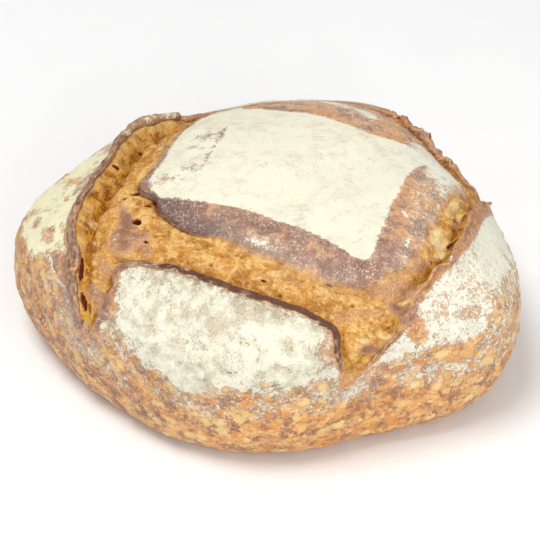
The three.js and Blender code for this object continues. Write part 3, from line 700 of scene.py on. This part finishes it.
def flour_cover(site):
    """Share of the surface under flour at each point, how yellow it is and how smudged, the smudging partly
    painted shade on the front panel.
    """
    broad = lumps(site.flat, 11, 21)
    small = lumps(site.flat, 3.5, 22)
    cover = np.zeros(len(site.plan))
    yellow = np.full(len(site.plan), 0.25)
    smudge_and_shade = np.full(len(site.plan), 0.3)
    clear_of_lip = smooth((site.to_opening - site.lip.bare + 0.7 * small) / 1.2)
    clear_of_rim = smooth(-site.to_plateau / 1.5)
    for on_panel, share, fade, patchy, tint, grey, outline in FLOUR:
        line = ClosedLine(outline, 2.5)
        distance = line.distance_on_grid(site.plan, 3) + (0.7 * small + 0.8 * broad) * min(1, fade / 7)
        here = share * smooth(-distance / fade) * (1 - patchy * smooth(0.3 + 0.8 * broad + 0.5 * small))
        clear = np.where(site.outside, on_panel * clear_of_lip, (not on_panel) * clear_of_rim)
        cover = np.maximum(cover, here * clear)
        yellow = np.where(distance < 3, tint, yellow)
        smudge_and_shade = mix(smudge_and_shade, grey, smooth(1 - distance / 6))
    cover = np.maximum(cover, spread(site.plan + 0.6 * small[:, None], SPOTS, 1.4))
    for distance, share in ellipses(site.plan + 1.5 * (small + broad)[:, None], THIN):
        cover = cover * (1 - share * smooth(1.6 - distance))
    return cover, yellow, smudge_and_shade


def mark_tears(site):
    """Holes in the crumb with their depth and a mask of painted shade over them, skin left on it and pale
    hollows, from their tables.
    """
    edge = 1.1 - 0.2 * lumps(site.flat, 1.7, 54)
    site.hole = spread(site.plan, [(*place, 1) for *place, _ in HOLES], edge, 1.6)
    site.hole_depth = spread(site.plan, HOLES, edge, 1.6)
    warped = site.plan + 2.6 * drift(site.flat, 5, 24, 25)
    site.stain = spread(warped, STAINS, 1.5)
    site.hollow = spread(warped, HOLLOWS, 1.3)


def ear_relief(site):
    """Pits of the back ear and layers of the left one; also a mask of painted shade in the middle of each
    pit.
    """
    x, y = site.plan.T
    back_ear = ramp(site.lip.scorch, 0.6, 0.9) * ramp(y, 40, 60) * bell(site.to_opening, 5)
    gap, value = bubbles(site.under, 2.6, 56)
    relief = back_ear * (2.4 * smooth(gap * 1.7) * value + 1.5 * lumps(site.under, 2.2, 57) - 1)
    left_ear = ramp(x, -50, -70) * bell(site.to_opening - 2.5, 4.5) * site.opened * site.outside
    across = site.to_opening + 1.2 * site.ripple[:, 0]
    layers = ridges(flat_points(site.along, across), (14, 2.6, 1), 86) - 0.6
    shaggy = 1 + ramp(y, 60, 90)
    relief += left_ear * shaggy * (1.8 * layers + 0.5 * lumps(site.under, 3.2, 87))
    return relief, back_ear * smooth(1.1 - gap * 2.2)


def ragged_lips(site):
    """Height, and shift towards the cut, of the ragged lips and the strands on the wall under them."""
    x, y = site.plan.T
    place = site.lip_place
    rag = 0.9 * lumps(place, 9, 80) + 0.45 * lumps(place, 4, 81) + 0.15 * lumps(place, 1.5, 82)
    lift = 0.7 * lumps(place, 7, 83) + 0.2 * lumps(place, 2.4, 84)
    ragged = site.near_edge * site.lip.rag
    stringy = mix(0.5, 0.8, ramp(x, -60, -70)) * ramp(y, -50, -25) * site.opened
    return ragged * lift, ragged * rag + site.on_wall * wall_strands(site) * stringy


def skin_tones(site):
    """How charred the skin is beside the cuts, and how mauve it is farther off."""
    x, y = site.plan.T
    beside = site.outside * smooth(1.5 - site.to_opening / site.lip.bare)
    char = site.lip.char * np.maximum(beside, site.on_edge)
    char = char * (0.85 + 0.3 * lumps(site.lip_place, 13, 85)) * site.opened
    on_plateau = ~site.outside & (site.to_plateau < 2)
    at_rim = 1.3 * bell(site.to_plateau, 9) * on_plateau * ramp(x, -8, -38) * ramp(y, 12, 0)
    plateau_mauve = mix(0.95, 0.45, smooth((x + y * 0.5 - 20) / 50))
    panel_mauve = mix(0.6, 0.25, ramp(x, -90, 30))
    return char, np.where(on_plateau, plateau_mauve, panel_mauve) + at_rim


def loaf_surface(plan):
    """Points of the loaf's surface at plan points, and the masks that its material reads."""
    site = survey(plan)
    mark_tears(site)
    height, inward = broad_form(site)
    drop = np.where(site.outside, 0, np.clip(site.lip.ear - height, 0, 15))
    skin, blister = skin_relief(site)
    crumb, pore = crumb_relief(site)
    bumps, shift = round_bumps(site)
    ears, pit_shade = ear_relief(site)
    lift, lip_shift = ragged_lips(site)
    leaf, leaf_height = next(ellipses(plan + 0.8 * site.ripple, [LEAF]))
    height += skin + bumps + ears + lift
    height += site.in_crumb * (crumb * (1 - 0.6 * np.minimum(site.stain, 1)) + 0.7 * site.stain)
    height += leaf_height * ramp(leaf, 1.05, 0.75) * site.outside
    height -= site.torn * (site.hole_depth + site.hollow)
    height *= smooth(site.under[:, 2] / 9)  # the base stays flat
    moved = plan - site.outward * (inward + lip_shift)[:, None] + shift
    points = body(moved) + body_normal(moved) * height[:, None]
    points[:, 2] = np.maximum(points[:, 2], 0)

    flour, yellow, smudge_and_shade = flour_cover(site)
    flour = np.maximum(flour, 0.65 * bell(leaf - 1.05, 0.2) * ramp(site.to_opening, 5, 8))
    char, mauve = skin_tones(site)
    patchy = site.high_rim * (0.36 + 0.24 * lumps(site.flat, 4, 67))
    rim_shadow = patchy * site.on_left * bell(site.to_plateau - 1.7, 1.3)
    # painted shadow on the crumb at the foot of the plateau's high step
    rim_foot_shadow = 1.3 * site.high_rim * bell(site.to_plateau - 1.2, 2) * site.torn
    masks = {
        # the flour's greying is partly smudged flour and partly painted shade, most on the front panel
        "flour": flour * (1 - 0.5 * site.torn) * smooth(1 - bumps / 3), "yellow": yellow, "smudge_and_shade": smudge_and_shade,
        # painted shade in the middle of each pit of the back ear
        "torn": site.torn, "leaf": ramp(leaf, 1.05, 0.85) * site.outside, "pit_shade": pit_shade,
        # painted shade in holes and slots, with the painted shadow under the plateau's left rim
        "char": char, "hole": np.maximum(site.hole * site.torn, rim_shadow), "mauve": mauve,
        # painted shade in the crumb's pores, the wall's pockets and at the foot of the plateau's rim
        "pore": np.maximum(np.maximum(site.in_crumb * pore, 0.8 * site.pockets), rim_foot_shadow),
        "blister": blister, "stain": site.torn * site.stain, "hollow": site.torn * site.hollow / 3,
        # brown at the foot of the lips: partly scorched crumb, partly painted shade from the trench
        "scorch": site.torn * site.lip.scorch * smooth(1.3 - (site.depth_in - LIP_EDGE) / 6),
        "low": ramp(site.to_opening, 5, 13) * ramp(site.arc, 96, 130),
        "spotted": mix(0.75, 1, ramp(plan[:, 0], -70, 20)),
        "lip_side": site.near_edge + site.outside * bell(site.to_opening, 7) * site.opened,
        "along": site.along, "across": site.to_opening, "round": site.to_opening - drop,
    }
    return points, masks


# ---- Mesh of the loaf ----


def make_base(edge_plan):
    """Plan points and triangles of the flat underside, with the edge points first."""
    i, j = square_grid(math.ceil(PLAN_RADIUS / BASE_SPACING))
    inner = np.stack([(i + 0.5 * (j % 2)) * BASE_SPACING, (j + 0.1) * BASE_SPACING * 0.87], axis=1)
    inner = inner[np.hypot(*inner.T) < PLAN_RADIUS - BASE_SPACING * 0.7]
    return triangulate(np.concatenate([edge_plan, inner]))


def base_surface(plan):
    """Points of the underside: the base's outline drawn in towards the middle."""
    share = (np.hypot(*plan.T) / PLAN_RADIUS)[:, None]
    points = mix(np.array([*PLAN_SHIFT, 0]), body(plan / share), share)
    points[:, 2] = 0.5 * smooth((1 - share[:, 0]) * 12) * smooth(0.5 + lumps(points, 7, 5))
    return points


def hollowness(points, faces, rounds=3):
    """How far each vertex lies below its neighbours, in mm; below 0 on a crest."""
    edges = np.concatenate([faces[:, [0, 1]], faces[:, [1, 2]], faces[:, [2, 0]]])
    starts, ends = edges.T
    count = np.bincount(edges.ravel(), minlength=len(points))

    def gather(indexes, values):
        return np.stack([np.bincount(indexes, values[:, k], len(points)) for k in range(3)], axis=1)

    corners = points[faces]
    face_normal = np.cross(corners[:, 1] - corners[:, 0], corners[:, 2] - corners[:, 0])
    normal = sum(gather(faces[:, k], face_normal) for k in range(3))
    normal /= np.linalg.norm(normal, axis=1, keepdims=True) + 1e-12
    near = points
    for _ in range(rounds):
        near = (gather(starts, near[ends]) + gather(ends, near[starts])) / count[:, None]
    return ((near - points) * normal).sum(1)


def make_loaf():
    plan, faces = triangulate(make_plan())
    points, masks = loaf_surface(plan)

    ring = np.flatnonzero(np.hypot(*plan.T) > PLAN_RADIUS - 0.01)
    base_plan, base_faces = make_base(plan[ring])
    inner = base_surface(base_plan[len(ring):])
    index = np.concatenate([ring, len(plan) + np.arange(len(inner))])
    points = np.concatenate([points, inner])
    faces = np.concatenate([faces, index[base_faces][:, ::-1]])
    masks = {name: np.concatenate([values, np.zeros(len(inner))]) for name, values in masks.items()}
    masks["base"] = ramp(points[:, 2], 5, 0)
    # how far each vertex lies below its neighbours, which the crumb's colour turns into painted shade in
    # dips and a painted highlight on crests
    masks["cavity_shading"] = hollowness(points, faces)

    # fitted to the CAD node's box, so that the loaf keeps its size
    low, high = (np.array(corner) / MM for corner in LOAF_BOX)
    own_low, own_high = points.min(0), points.max(0)
    points = low + (points - own_low) * (high - low) / (own_high - own_low)

    mesh = bpy.data.meshes.new("loaf_crust")
    mesh.from_pydata((points * MM).tolist(), [], faces.tolist())
    for name, values in masks.items():
        mesh.attributes.new(name, "FLOAT", "POINT").data.foreach_set("value", values.astype(np.float32))
    mesh.polygons.foreach_set("use_smooth", np.ones(len(faces), bool))
    mesh.validate()
    loaf = bpy.data.objects.new("loaf_crust", mesh)
    bpy.context.scene.collection.objects.link(loaf)
    return loaf


# ---- Materials ----


class Value:
    """A node's output. Sums, differences and products of values are nodes too."""

    def __init__(self, tree, socket):
        self.tree = tree
        self.socket = socket

    def __add__(self, other):
        return self.tree.maths("ADD", self, other)

    def __sub__(self, other):
        return self.tree.maths("SUBTRACT", self, other)

    def __mul__(self, other):
        return self.tree.maths("MULTIPLY", self, other)


class Tree:
    """A material's nodes, made by short calls that return values."""

    def __init__(self, name):
        self.material = bpy.data.materials.new(name)
        self.material.use_nodes = True
        self.nodes = self.material.node_tree.nodes
        self.nodes.clear()
        self.place = self.make("TexCoord", "Object")

    def put(self, socket, value):
        if isinstance(value, Value):
            self.material.node_tree.links.new(value.socket, socket)
        else:
            socket.default_value = value

    def make(self, kind, output, inputs=(), **settings):
        """An output of a new node. Inputs are (socket, value) pairs, and settings go by name."""
        node = self.nodes.new("ShaderNode" + kind)
        for name, value in settings.items():
            setattr(node, name, value)
        for name, value in inputs:
            self.put(node.inputs[name], value)
        return Value(self, node.outputs[output])

    def mask(self, name):
        return self.make("Attribute", "Fac", attribute_name=name)

    def maths(self, operation, a, b=0.0):
        return self.make("Math", 0, enumerate((a, b)), operation=operation)

    def highest(self, a, b):
        return self.maths("MAXIMUM", a, b)

    def band(self, value, low, high, start=0.0, end=1.0):
        """A smooth step from start to end as value goes from low to high."""
        inputs = enumerate((value, low, high, start, end))
        return self.make("MapRange", 0, inputs, interpolation_type="SMOOTHSTEP")

    def mix(self, share, a, b):
        # a mix node has sockets of the same name for each data type; these are the colour ones
        return self.make("Mix", 2, zip((0, 6, 7), (share, a, b)), data_type="RGBA")

    def paint(self, colour, *layers):
        """A colour with layers over it, each a share and a colour."""
        for share, layer in layers:
            colour = self.mix(share, colour, layer)
        return colour

    def lip_place(self, squeeze):
        """Coordinates along and round the lips, the second squeezed, in metres."""
        along, around = self.mask("along") * MM, self.mask("round") * (MM * squeeze)
        return self.make("CombineXYZ", 0, enumerate((along, around)))

    def warped(self, size, shift):
        """The object's coordinates with noise of the given size added, for outlines that aren't round."""
        noise = self.make("TexNoise", "Color", [("Vector", self.place), ("Scale", 1 / (size * MM))])
        inputs = enumerate((noise, [2 * shift * MM] * 3, self.place))
        return self.make("VectorMath", 0, inputs, operation="MULTIPLY_ADD")

    def stretched(self, degrees, times):
        """The object's coordinates, for noise drawn out that many times in one direction of the plan."""
        turn = (0, 0, math.radians(degrees))
        inputs = [("Vector", self.place), ("Rotation", turn), ("Scale", (times, 1, 1))]
        return self.make("Mapping", 0, inputs, vector_type="TEXTURE")

    def noise(self, size, detail=2.0, roughness=0.55, seed=0.0, place=None):
        """Noise from 0 to 1, spread evenly over that range, with features of about size mm."""
        inputs = [("Vector", place or self.place), ("W", seed), ("Scale", 1 / (size * MM)),
                  ("Detail", detail), ("Roughness", roughness)]
        return self.band(self.make("TexNoise", "Fac", inputs, noise_dimensions="4D"), 0.33, 0.67)

    def domes(self, size, place):
        """Round domes from 0 to 1 of uneven size, and a random value for each."""
        node = self.nodes.new("ShaderNodeTexVoronoi")
        self.put(node.inputs["Vector"], place)
        self.put(node.inputs["Scale"], 1 / (size * MM))
        distance, colour = (Value(self, node.outputs[name]) for name in ("Distance", "Color"))
        radius, value = (self.make("SeparateColor", part, [(0, colour)]) for part in (0, 1))
        radius = radius * 0.4 + 0.22
        return self.band(distance, radius, radius - 0.2), value

    def bump(self, height, depth, *normal):
        """A bump whose height from 0 to 1 stands for depth mm, over another normal if one is given."""
        inputs = [("Distance", depth * MM), ("Height", height)]
        return self.make("Bump", "Normal", inputs + [("Normal", value) for value in normal])

    def finish(self, colour, roughness, shine, normal):
        shader = self.nodes.new("ShaderNodeBsdfPrincipled")
        self.put(shader.inputs["Base Color"], colour)
        self.put(shader.inputs["Roughness"], roughness)
        self.put(shader.inputs["Normal"], normal)
        self.put(shader.inputs["Specular IOR Level"], shine)
        output = self.nodes.new("ShaderNodeOutputMaterial")
        self.material.node_tree.links.new(shader.outputs[0], output.inputs["Surface"])
        return self.material


def srgb(red, green, blue):
    """A linear colour from 0 to 255 screen values."""
    def linear(value):
        value /= 255
        return value / 12.92 if value <= 0.04045 else ((value + 0.055) / 1.055) ** 2.4

    return (linear(red), linear(green), linear(blue), 1.0)


SKIN_APRICOT = srgb(232, 174, 112)
SKIN_RUSSET = srgb(182, 118, 72)
SKIN_ROSE = srgb(212, 162, 128)
SKIN_MAUVE = srgb(152, 114, 98)
SKIN_UMBER = srgb(124, 80, 52)
SKIN_BROWN = srgb(148, 90, 50)
SKIN_DUSK = srgb(104, 82, 78)
SKIN_PALE = srgb(250, 234, 208)
AMBER = srgb(226, 148, 60)
PALE_GOLD = srgb(246, 210, 138)
LIP_BROWN = srgb(80, 46, 34)
LIP_GREY = srgb(152, 120, 96)
LIP_BEIGE = srgb(214, 190, 154)
CRUMB_PALE = srgb(248, 204, 130)
CRUMB_GOLD = srgb(222, 156, 76)
CRUMB_BROWN = srgb(174, 112, 52)
# a deep ochre for the walls' tone, and the colour of painted shade in pores, pockets, dips of the relief and
# at the rim's foot
CRUMB_DEEP = srgb(146, 82, 18)
HOLLOW_GOLD = srgb(255, 228, 170)
WALL_OCHRE = srgb(226, 164, 62)
# brown of the crumb at the lips' foot: partly scorched, partly painted shade from the trench
SCORCHED_AND_SHADED = srgb(168, 112, 62)
# the colour of painted shade in holes and slots, in each pit of the back ear and under the plateau's rim
HOLE_SHADE = srgb(104, 34, 10)
FLOUR_CREAM = srgb(238, 235, 219)
FLOUR_YELLOW = srgb(238, 232, 196)
# grey of smudged and rubbed flour, also the colour of painted shade on the front panel
FLOUR_GREY_AND_SHADE = srgb(190, 178, 152)
FLOUR_DARK = srgb(134, 114, 88)
RUB_TURN = 12  # degrees: the way that the flour on top is rubbed


def skin_colour(tree, noises):
    """Bare skin: apricot to russet, with rosy and mauve patches, low blisters and pale wrinkles."""
    broad, middle, small, grain, speck = noises
    mask, mix, band, highest = tree.mask, tree.mix, tree.band, tree.highest
    low, spotted = mask("low"), mask("spotted")
    place = tree.warped(5, 2.2)
    large, value = tree.domes(8, place)
    fine, fine_value = tree.domes(4, place)
    domes = highest(large * band(value, 0.3, 0.6), fine * band(fine_value, 0.5, 0.8) * 0.8) * low * spotted
    blister = highest(domes, mask("blister") * spotted)
    rosy = mask("mauve") + broad * 0.4 + middle * 0.7 + small * 0.2
    shade = band(rosy + grain * 0.4, 1.15, 1.75)
    wrinkle = band(tree.maths("ABSOLUTE", tree.noise(5, detail=3, seed=9) - 0.5), 0.12, 0)
    between = band(broad * 0.5 + middle * 0.7 + small * 0.6, 0.5, 1.2)
    blotch = band(tree.noise(8, detail=4, roughness=0.6, seed=8), 0.55, 0.85)
    dust = band(speck * 0.5 + grain + small * 0.5, 1.15, 1.6) * band(broad, 0.2, 0.9, 0.3, 1)
    colour = tree.paint(
        mix(small, SKIN_APRICOT, SKIN_RUSSET),
        (band(rosy, 0.85, 1.35), mix(shade, SKIN_ROSE, SKIN_MAUVE)),
        (band(grain + middle, 1.05, 1.8, 0, 0.6), SKIN_UMBER),
        (band(rosy, 1.5, 2.6, 0, 0.75), SKIN_DUSK),
        (wrinkle * grain * 0.45, SKIN_PALE),
        (between * low * 0.85, SKIN_BROWN),
        (blotch * low * spotted * 0.8, mix(small, PALE_GOLD, AMBER)),
        (blister * 0.9, mix(band(value, 0.35, 0.8), AMBER, PALE_GOLD)),
        (dust * band(rosy, 1.4, 2.4, 0.7, 0.3), SKIN_PALE),
        (mask("base") * 0.6, SKIN_RUSSET))
    return colour, blister, domes


def crumb_colour(tree, noises):
    """Torn crumb, with ochre walls under the lips, golden hollows, brown and mauve skin, and painted shade
    in its holes, pores and dips, with a painted highlight on its crests.
    """
    broad, middle, small, grain, _ = noises
    mask, mix, band, paint = tree.mask, tree.mix, tree.band, tree.paint
    cavity_shading, across, scorch, hollow, stain = (
        mask(name) for name in ("cavity_shading", "across", "scorch", "hollow", "stain"))
    fibre = tree.noise(1.8, detail=4, roughness=0.65, seed=7, place=tree.stretched(TEAR_WAYS[0], 3))
    layers = tree.noise(5, detail=4, roughness=0.6, seed=12, place=tree.lip_place(2.5))
    wall = band(across, -LIP_EDGE, -LIP_EDGE - 1) * band(across, -LIP_FOOT - 4, -LIP_FOOT)
    ochre = paint(
        mix(band(middle + layers, 0.6, 1.5), WALL_OCHRE, CRUMB_DEEP),
        (band(broad + layers, 1.3, 1.8, 0, 0.6), CRUMB_PALE),
        (band(mask("round"), -9, -5) * band(layers, 0.45, 0.75) * 0.6, LIP_BEIGE))
    stained = mix(band(stain + middle * 0.4, 0.9, 1.5), SKIN_ROSE, SKIN_MAUVE)
    stained = mix(band(grain, 0.4, 1, 0, 0.35), stained, SKIN_UMBER)
    return paint(
        mix(band(middle + small + fibre * 0.5, 0.6, 1.7), CRUMB_PALE, CRUMB_GOLD),
        (band(broad + middle + fibre * 0.4, 1.15, 1.9, 0, 0.7), CRUMB_BROWN),
        (band(grain, 0.5, 0.95, 0, 0.3), CRUMB_BROWN),
        (band(grain, 0.45, 0.1, 0, 0.25), CRUMB_PALE),
        (wall * band(scorch, 0.5, 0.1), ochre),
        # painted shade in the relief's dips, and a painted highlight on its crests
        (band(cavity_shading, 0.08, 0.6, 0, 0.6) * band(hollow, 0.4, 0.1), CRUMB_DEEP),
        (band(cavity_shading, -0.06, -0.35) * 0.4, CRUMB_PALE),
        # painted shade in pores, wall pockets and at the foot of the plateau's rim
        (mask("pore") * 0.75, CRUMB_DEEP),
        (band(hollow + small * 0.2, 0.2, 0.6), mix(band(middle, 0.5, 0.9, 0, 0.7), HOLLOW_GOLD, WALL_OCHRE)),
        (band(stain + small * 0.35 + grain * 0.25, 0.5, 1.15) * 0.85, stained),
        # partly scorched crumb, partly painted shade from the trench beside the lip
        (band(scorch + grain * 0.5, 0.45, 1.2) * 0.8, SCORCHED_AND_SHADED),
        # painted shade in holes and slots, and the painted shadow under the plateau's left rim
        (band(mask("hole"), 0.1, 0.5), HOLE_SHADE),
        # painted shade in the middle of each pit of the back ear
        (mask("pit_shade") * 0.8, HOLE_SHADE))


def add_lips(tree, noises, colour):
    """The streaked skin along the cuts and its charred edge, brown in front and greyer at the left."""
    _, _, small, grain, _ = noises
    mix, band = tree.mix, tree.band
    char = tree.mask("char")
    streak = tree.noise(6, detail=4, roughness=0.65, seed=6, place=tree.lip_place(4))
    charred = band(char + streak * 0.35 + grain * 0.3, 0.4, 1) * band(char, 0, 0.15)
    edge = mix(band(char + streak * 0.4 + small * 0.2, 0.65, 1.05), LIP_GREY, LIP_BROWN)
    edge = mix(band(streak, 0.45, 0.1) * band(char, 0.9, 0.5) * 0.9, edge, LIP_BEIGE)
    return tree.paint(colour, (tree.mask("lip_side") * streak * 0.45, SKIN_UMBER), (charred * 0.9, edge))


def add_flour(tree, noises, colour, blister):
    """The crust with grains of flour over it, as many as the flour's mask says; also their cover."""
    broad, middle, small, grain, speck = noises
    mask, mix, band = tree.mask, tree.mix, tree.band
    smudge_and_shade = mask("smudge_and_shade")
    share = mask("flour") - blister * mask("low") * 0.3
    cloudy = band(broad * 0.7 + middle + grain * 0.6, 0.65, 1.95)
    rubbed = tree.noise(1.3, detail=3, seed=10, place=tree.stretched(RUB_TURN, 5))
    dots = band(grain, 0.76, 1) * band(middle, 0.55, 0.9)
    flour = tree.paint(
        mix(mask("yellow"), FLOUR_CREAM, FLOUR_YELLOW),
        # grey smudges, partly real and partly painted shade, most on the front panel; the same mask darkens
        # the dots, the flour by the lips and the crust under thin flour
        (cloudy * (smudge_and_shade * 0.8 + 0.1) + smudge_and_shade * 0.15, FLOUR_GREY_AND_SHADE),
        (band(rubbed, 0.7, 1) * band(broad, 0.4, 0.9) * 0.35, FLOUR_GREY_AND_SHADE),
        (dots * (smudge_and_shade * 0.6 + 0.2), FLOUR_DARK),
        (mask("lip_side") * smudge_and_shade * band(small, 0.1, 0.9) * 0.55, FLOUR_DARK))
    under = mix(band(share, 0.2, 0.6) * smudge_and_shade * 0.7, colour, FLOUR_DARK)
    cover = band(share * 1.2 - (small * 0.45 + grain * 0.35 + speck * 0.2), -0.2, 0.25)
    cover = tree.highest(cover * band(share, 0, 0.15), share * 0.35)
    return mix(cover, under, flour), cover


def crust_material():
    tree = Tree("crust")
    band, torn = tree.band, tree.mask("torn")
    noises = (
        tree.noise(16, detail=2, seed=1),
        tree.noise(6, detail=4, roughness=0.6, seed=2),
        tree.noise(2.4, detail=4, roughness=0.62, seed=3),
        tree.noise(1, detail=3, roughness=0.6, seed=4),
        tree.noise(0.6, detail=2, roughness=0.5, seed=5, place=tree.stretched(31, 1.2)),
    )
    _, _, small, grain, speck = noises
    skin, blister, domes = skin_colour(tree, noises)
    colour = tree.mix(torn, skin, crumb_colour(tree, noises))
    colour = tree.mix(tree.mask("leaf") * small * 0.7, colour, SKIN_MAUVE)
    colour = add_lips(tree, noises, colour)
    colour, cover = add_flour(tree, noises, colour, blister)

    roughness = band(cover + blister * -0.3, -0.3, 1, 0.42, 0.92)
    normal = tree.bump(speck * band(cover, 0, 1, 1, 0.3), 0.12)
    normal = tree.bump(grain * (torn * 0.6 + 0.4), 0.4, normal)
    normal = tree.bump(domes * band(cover, 1, 0, 0.3, 1), 0.5, normal)
    return tree.finish(colour, roughness, band(torn + cover * 0.6, 0, 1, 0.3, 0.08), normal)


def floor_material():
    tree = Tree("floor")
    colour = tree.mix(tree.noise(60, detail=1), (0.89, 0.89, 0.89, 1), (0.9, 0.9, 0.9, 1))
    return tree.finish(colour, 0.9, 0.2, tree.bump(tree.noise(2), 0.01))


# ---- Stage, light and camera ----

CAMERA_ELEVATION = 40  # degrees
CAMERA_DISTANCE = 1.0  # metres from the middle of the loaf
SCALE = 511 / 265  # pixels a millimetre in the middle of the loaf
IMAGE_SIDE = 540
MIDDLE_AT = (259.5, 243.5)  # pixel of the loaf's middle
SENSOR = 36
LIGHTS = (  # name, place, diameter in metres, watts
    ("key", (-0.35, -0.3, 1.4), 0.6, 12.5),
    ("fill", (0.5, -1.1, 0.6), 1.0, 6.5),
)
WORLD_STRENGTH = 0.54


def make_camera():
    data = bpy.data.cameras.new("camera")
    camera = bpy.data.objects.new("camera", data)
    bpy.context.scene.collection.objects.link(camera)
    up = math.radians(CAMERA_ELEVATION)
    target = Vector((PLAN_SHIFT[0] * MM, PLAN_SHIFT[1] * MM, HEIGHT / 2 * MM))
    camera.location = target + CAMERA_DISTANCE * Vector((0, -math.cos(up), math.sin(up)))
    camera.rotation_euler = (math.pi / 2 - up, 0, 0)
    data.sensor_width = SENSOR
    data.lens = SENSOR * CAMERA_DISTANCE * SCALE / MM / IMAGE_SIDE
    data.shift_x = (IMAGE_SIDE / 2 - MIDDLE_AT[0]) / IMAGE_SIDE
    data.shift_y = (MIDDLE_AT[1] - IMAGE_SIDE / 2) / IMAGE_SIDE
    bpy.context.scene.camera = camera


def add_light(name, place, diameter, watts):
    data = bpy.data.lights.new(name, "AREA")
    data.shape = "DISK"
    data.size = diameter
    data.energy = watts
    light = bpy.data.objects.new(name, data)
    light.location = place
    light.rotation_euler = (Vector((0, 0, 0.05)) - Vector(place)).to_track_quat("-Z", "Y").to_euler()
    bpy.context.scene.collection.objects.link(light)


def make_studio():
    bpy.ops.mesh.primitive_plane_add(size=6)
    floor = bpy.context.object
    floor.name = "floor"
    floor.data.materials.append(floor_material())
    world = bpy.data.worlds.new("studio")
    world.use_nodes = True
    world.node_tree.nodes["Background"].inputs["Color"].default_value = (1, 1, 1, 1)
    world.node_tree.nodes["Background"].inputs["Strength"].default_value = WORLD_STRENGTH
    bpy.context.scene.world = world
    for light in LIGHTS:
        add_light(*light)
    bpy.context.scene.view_settings.view_transform = "Standard"


make_camera()
make_studio()
loaf = make_loaf()
loaf.data.materials.append(crust_material())
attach(loaf, "root")
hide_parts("loaf")
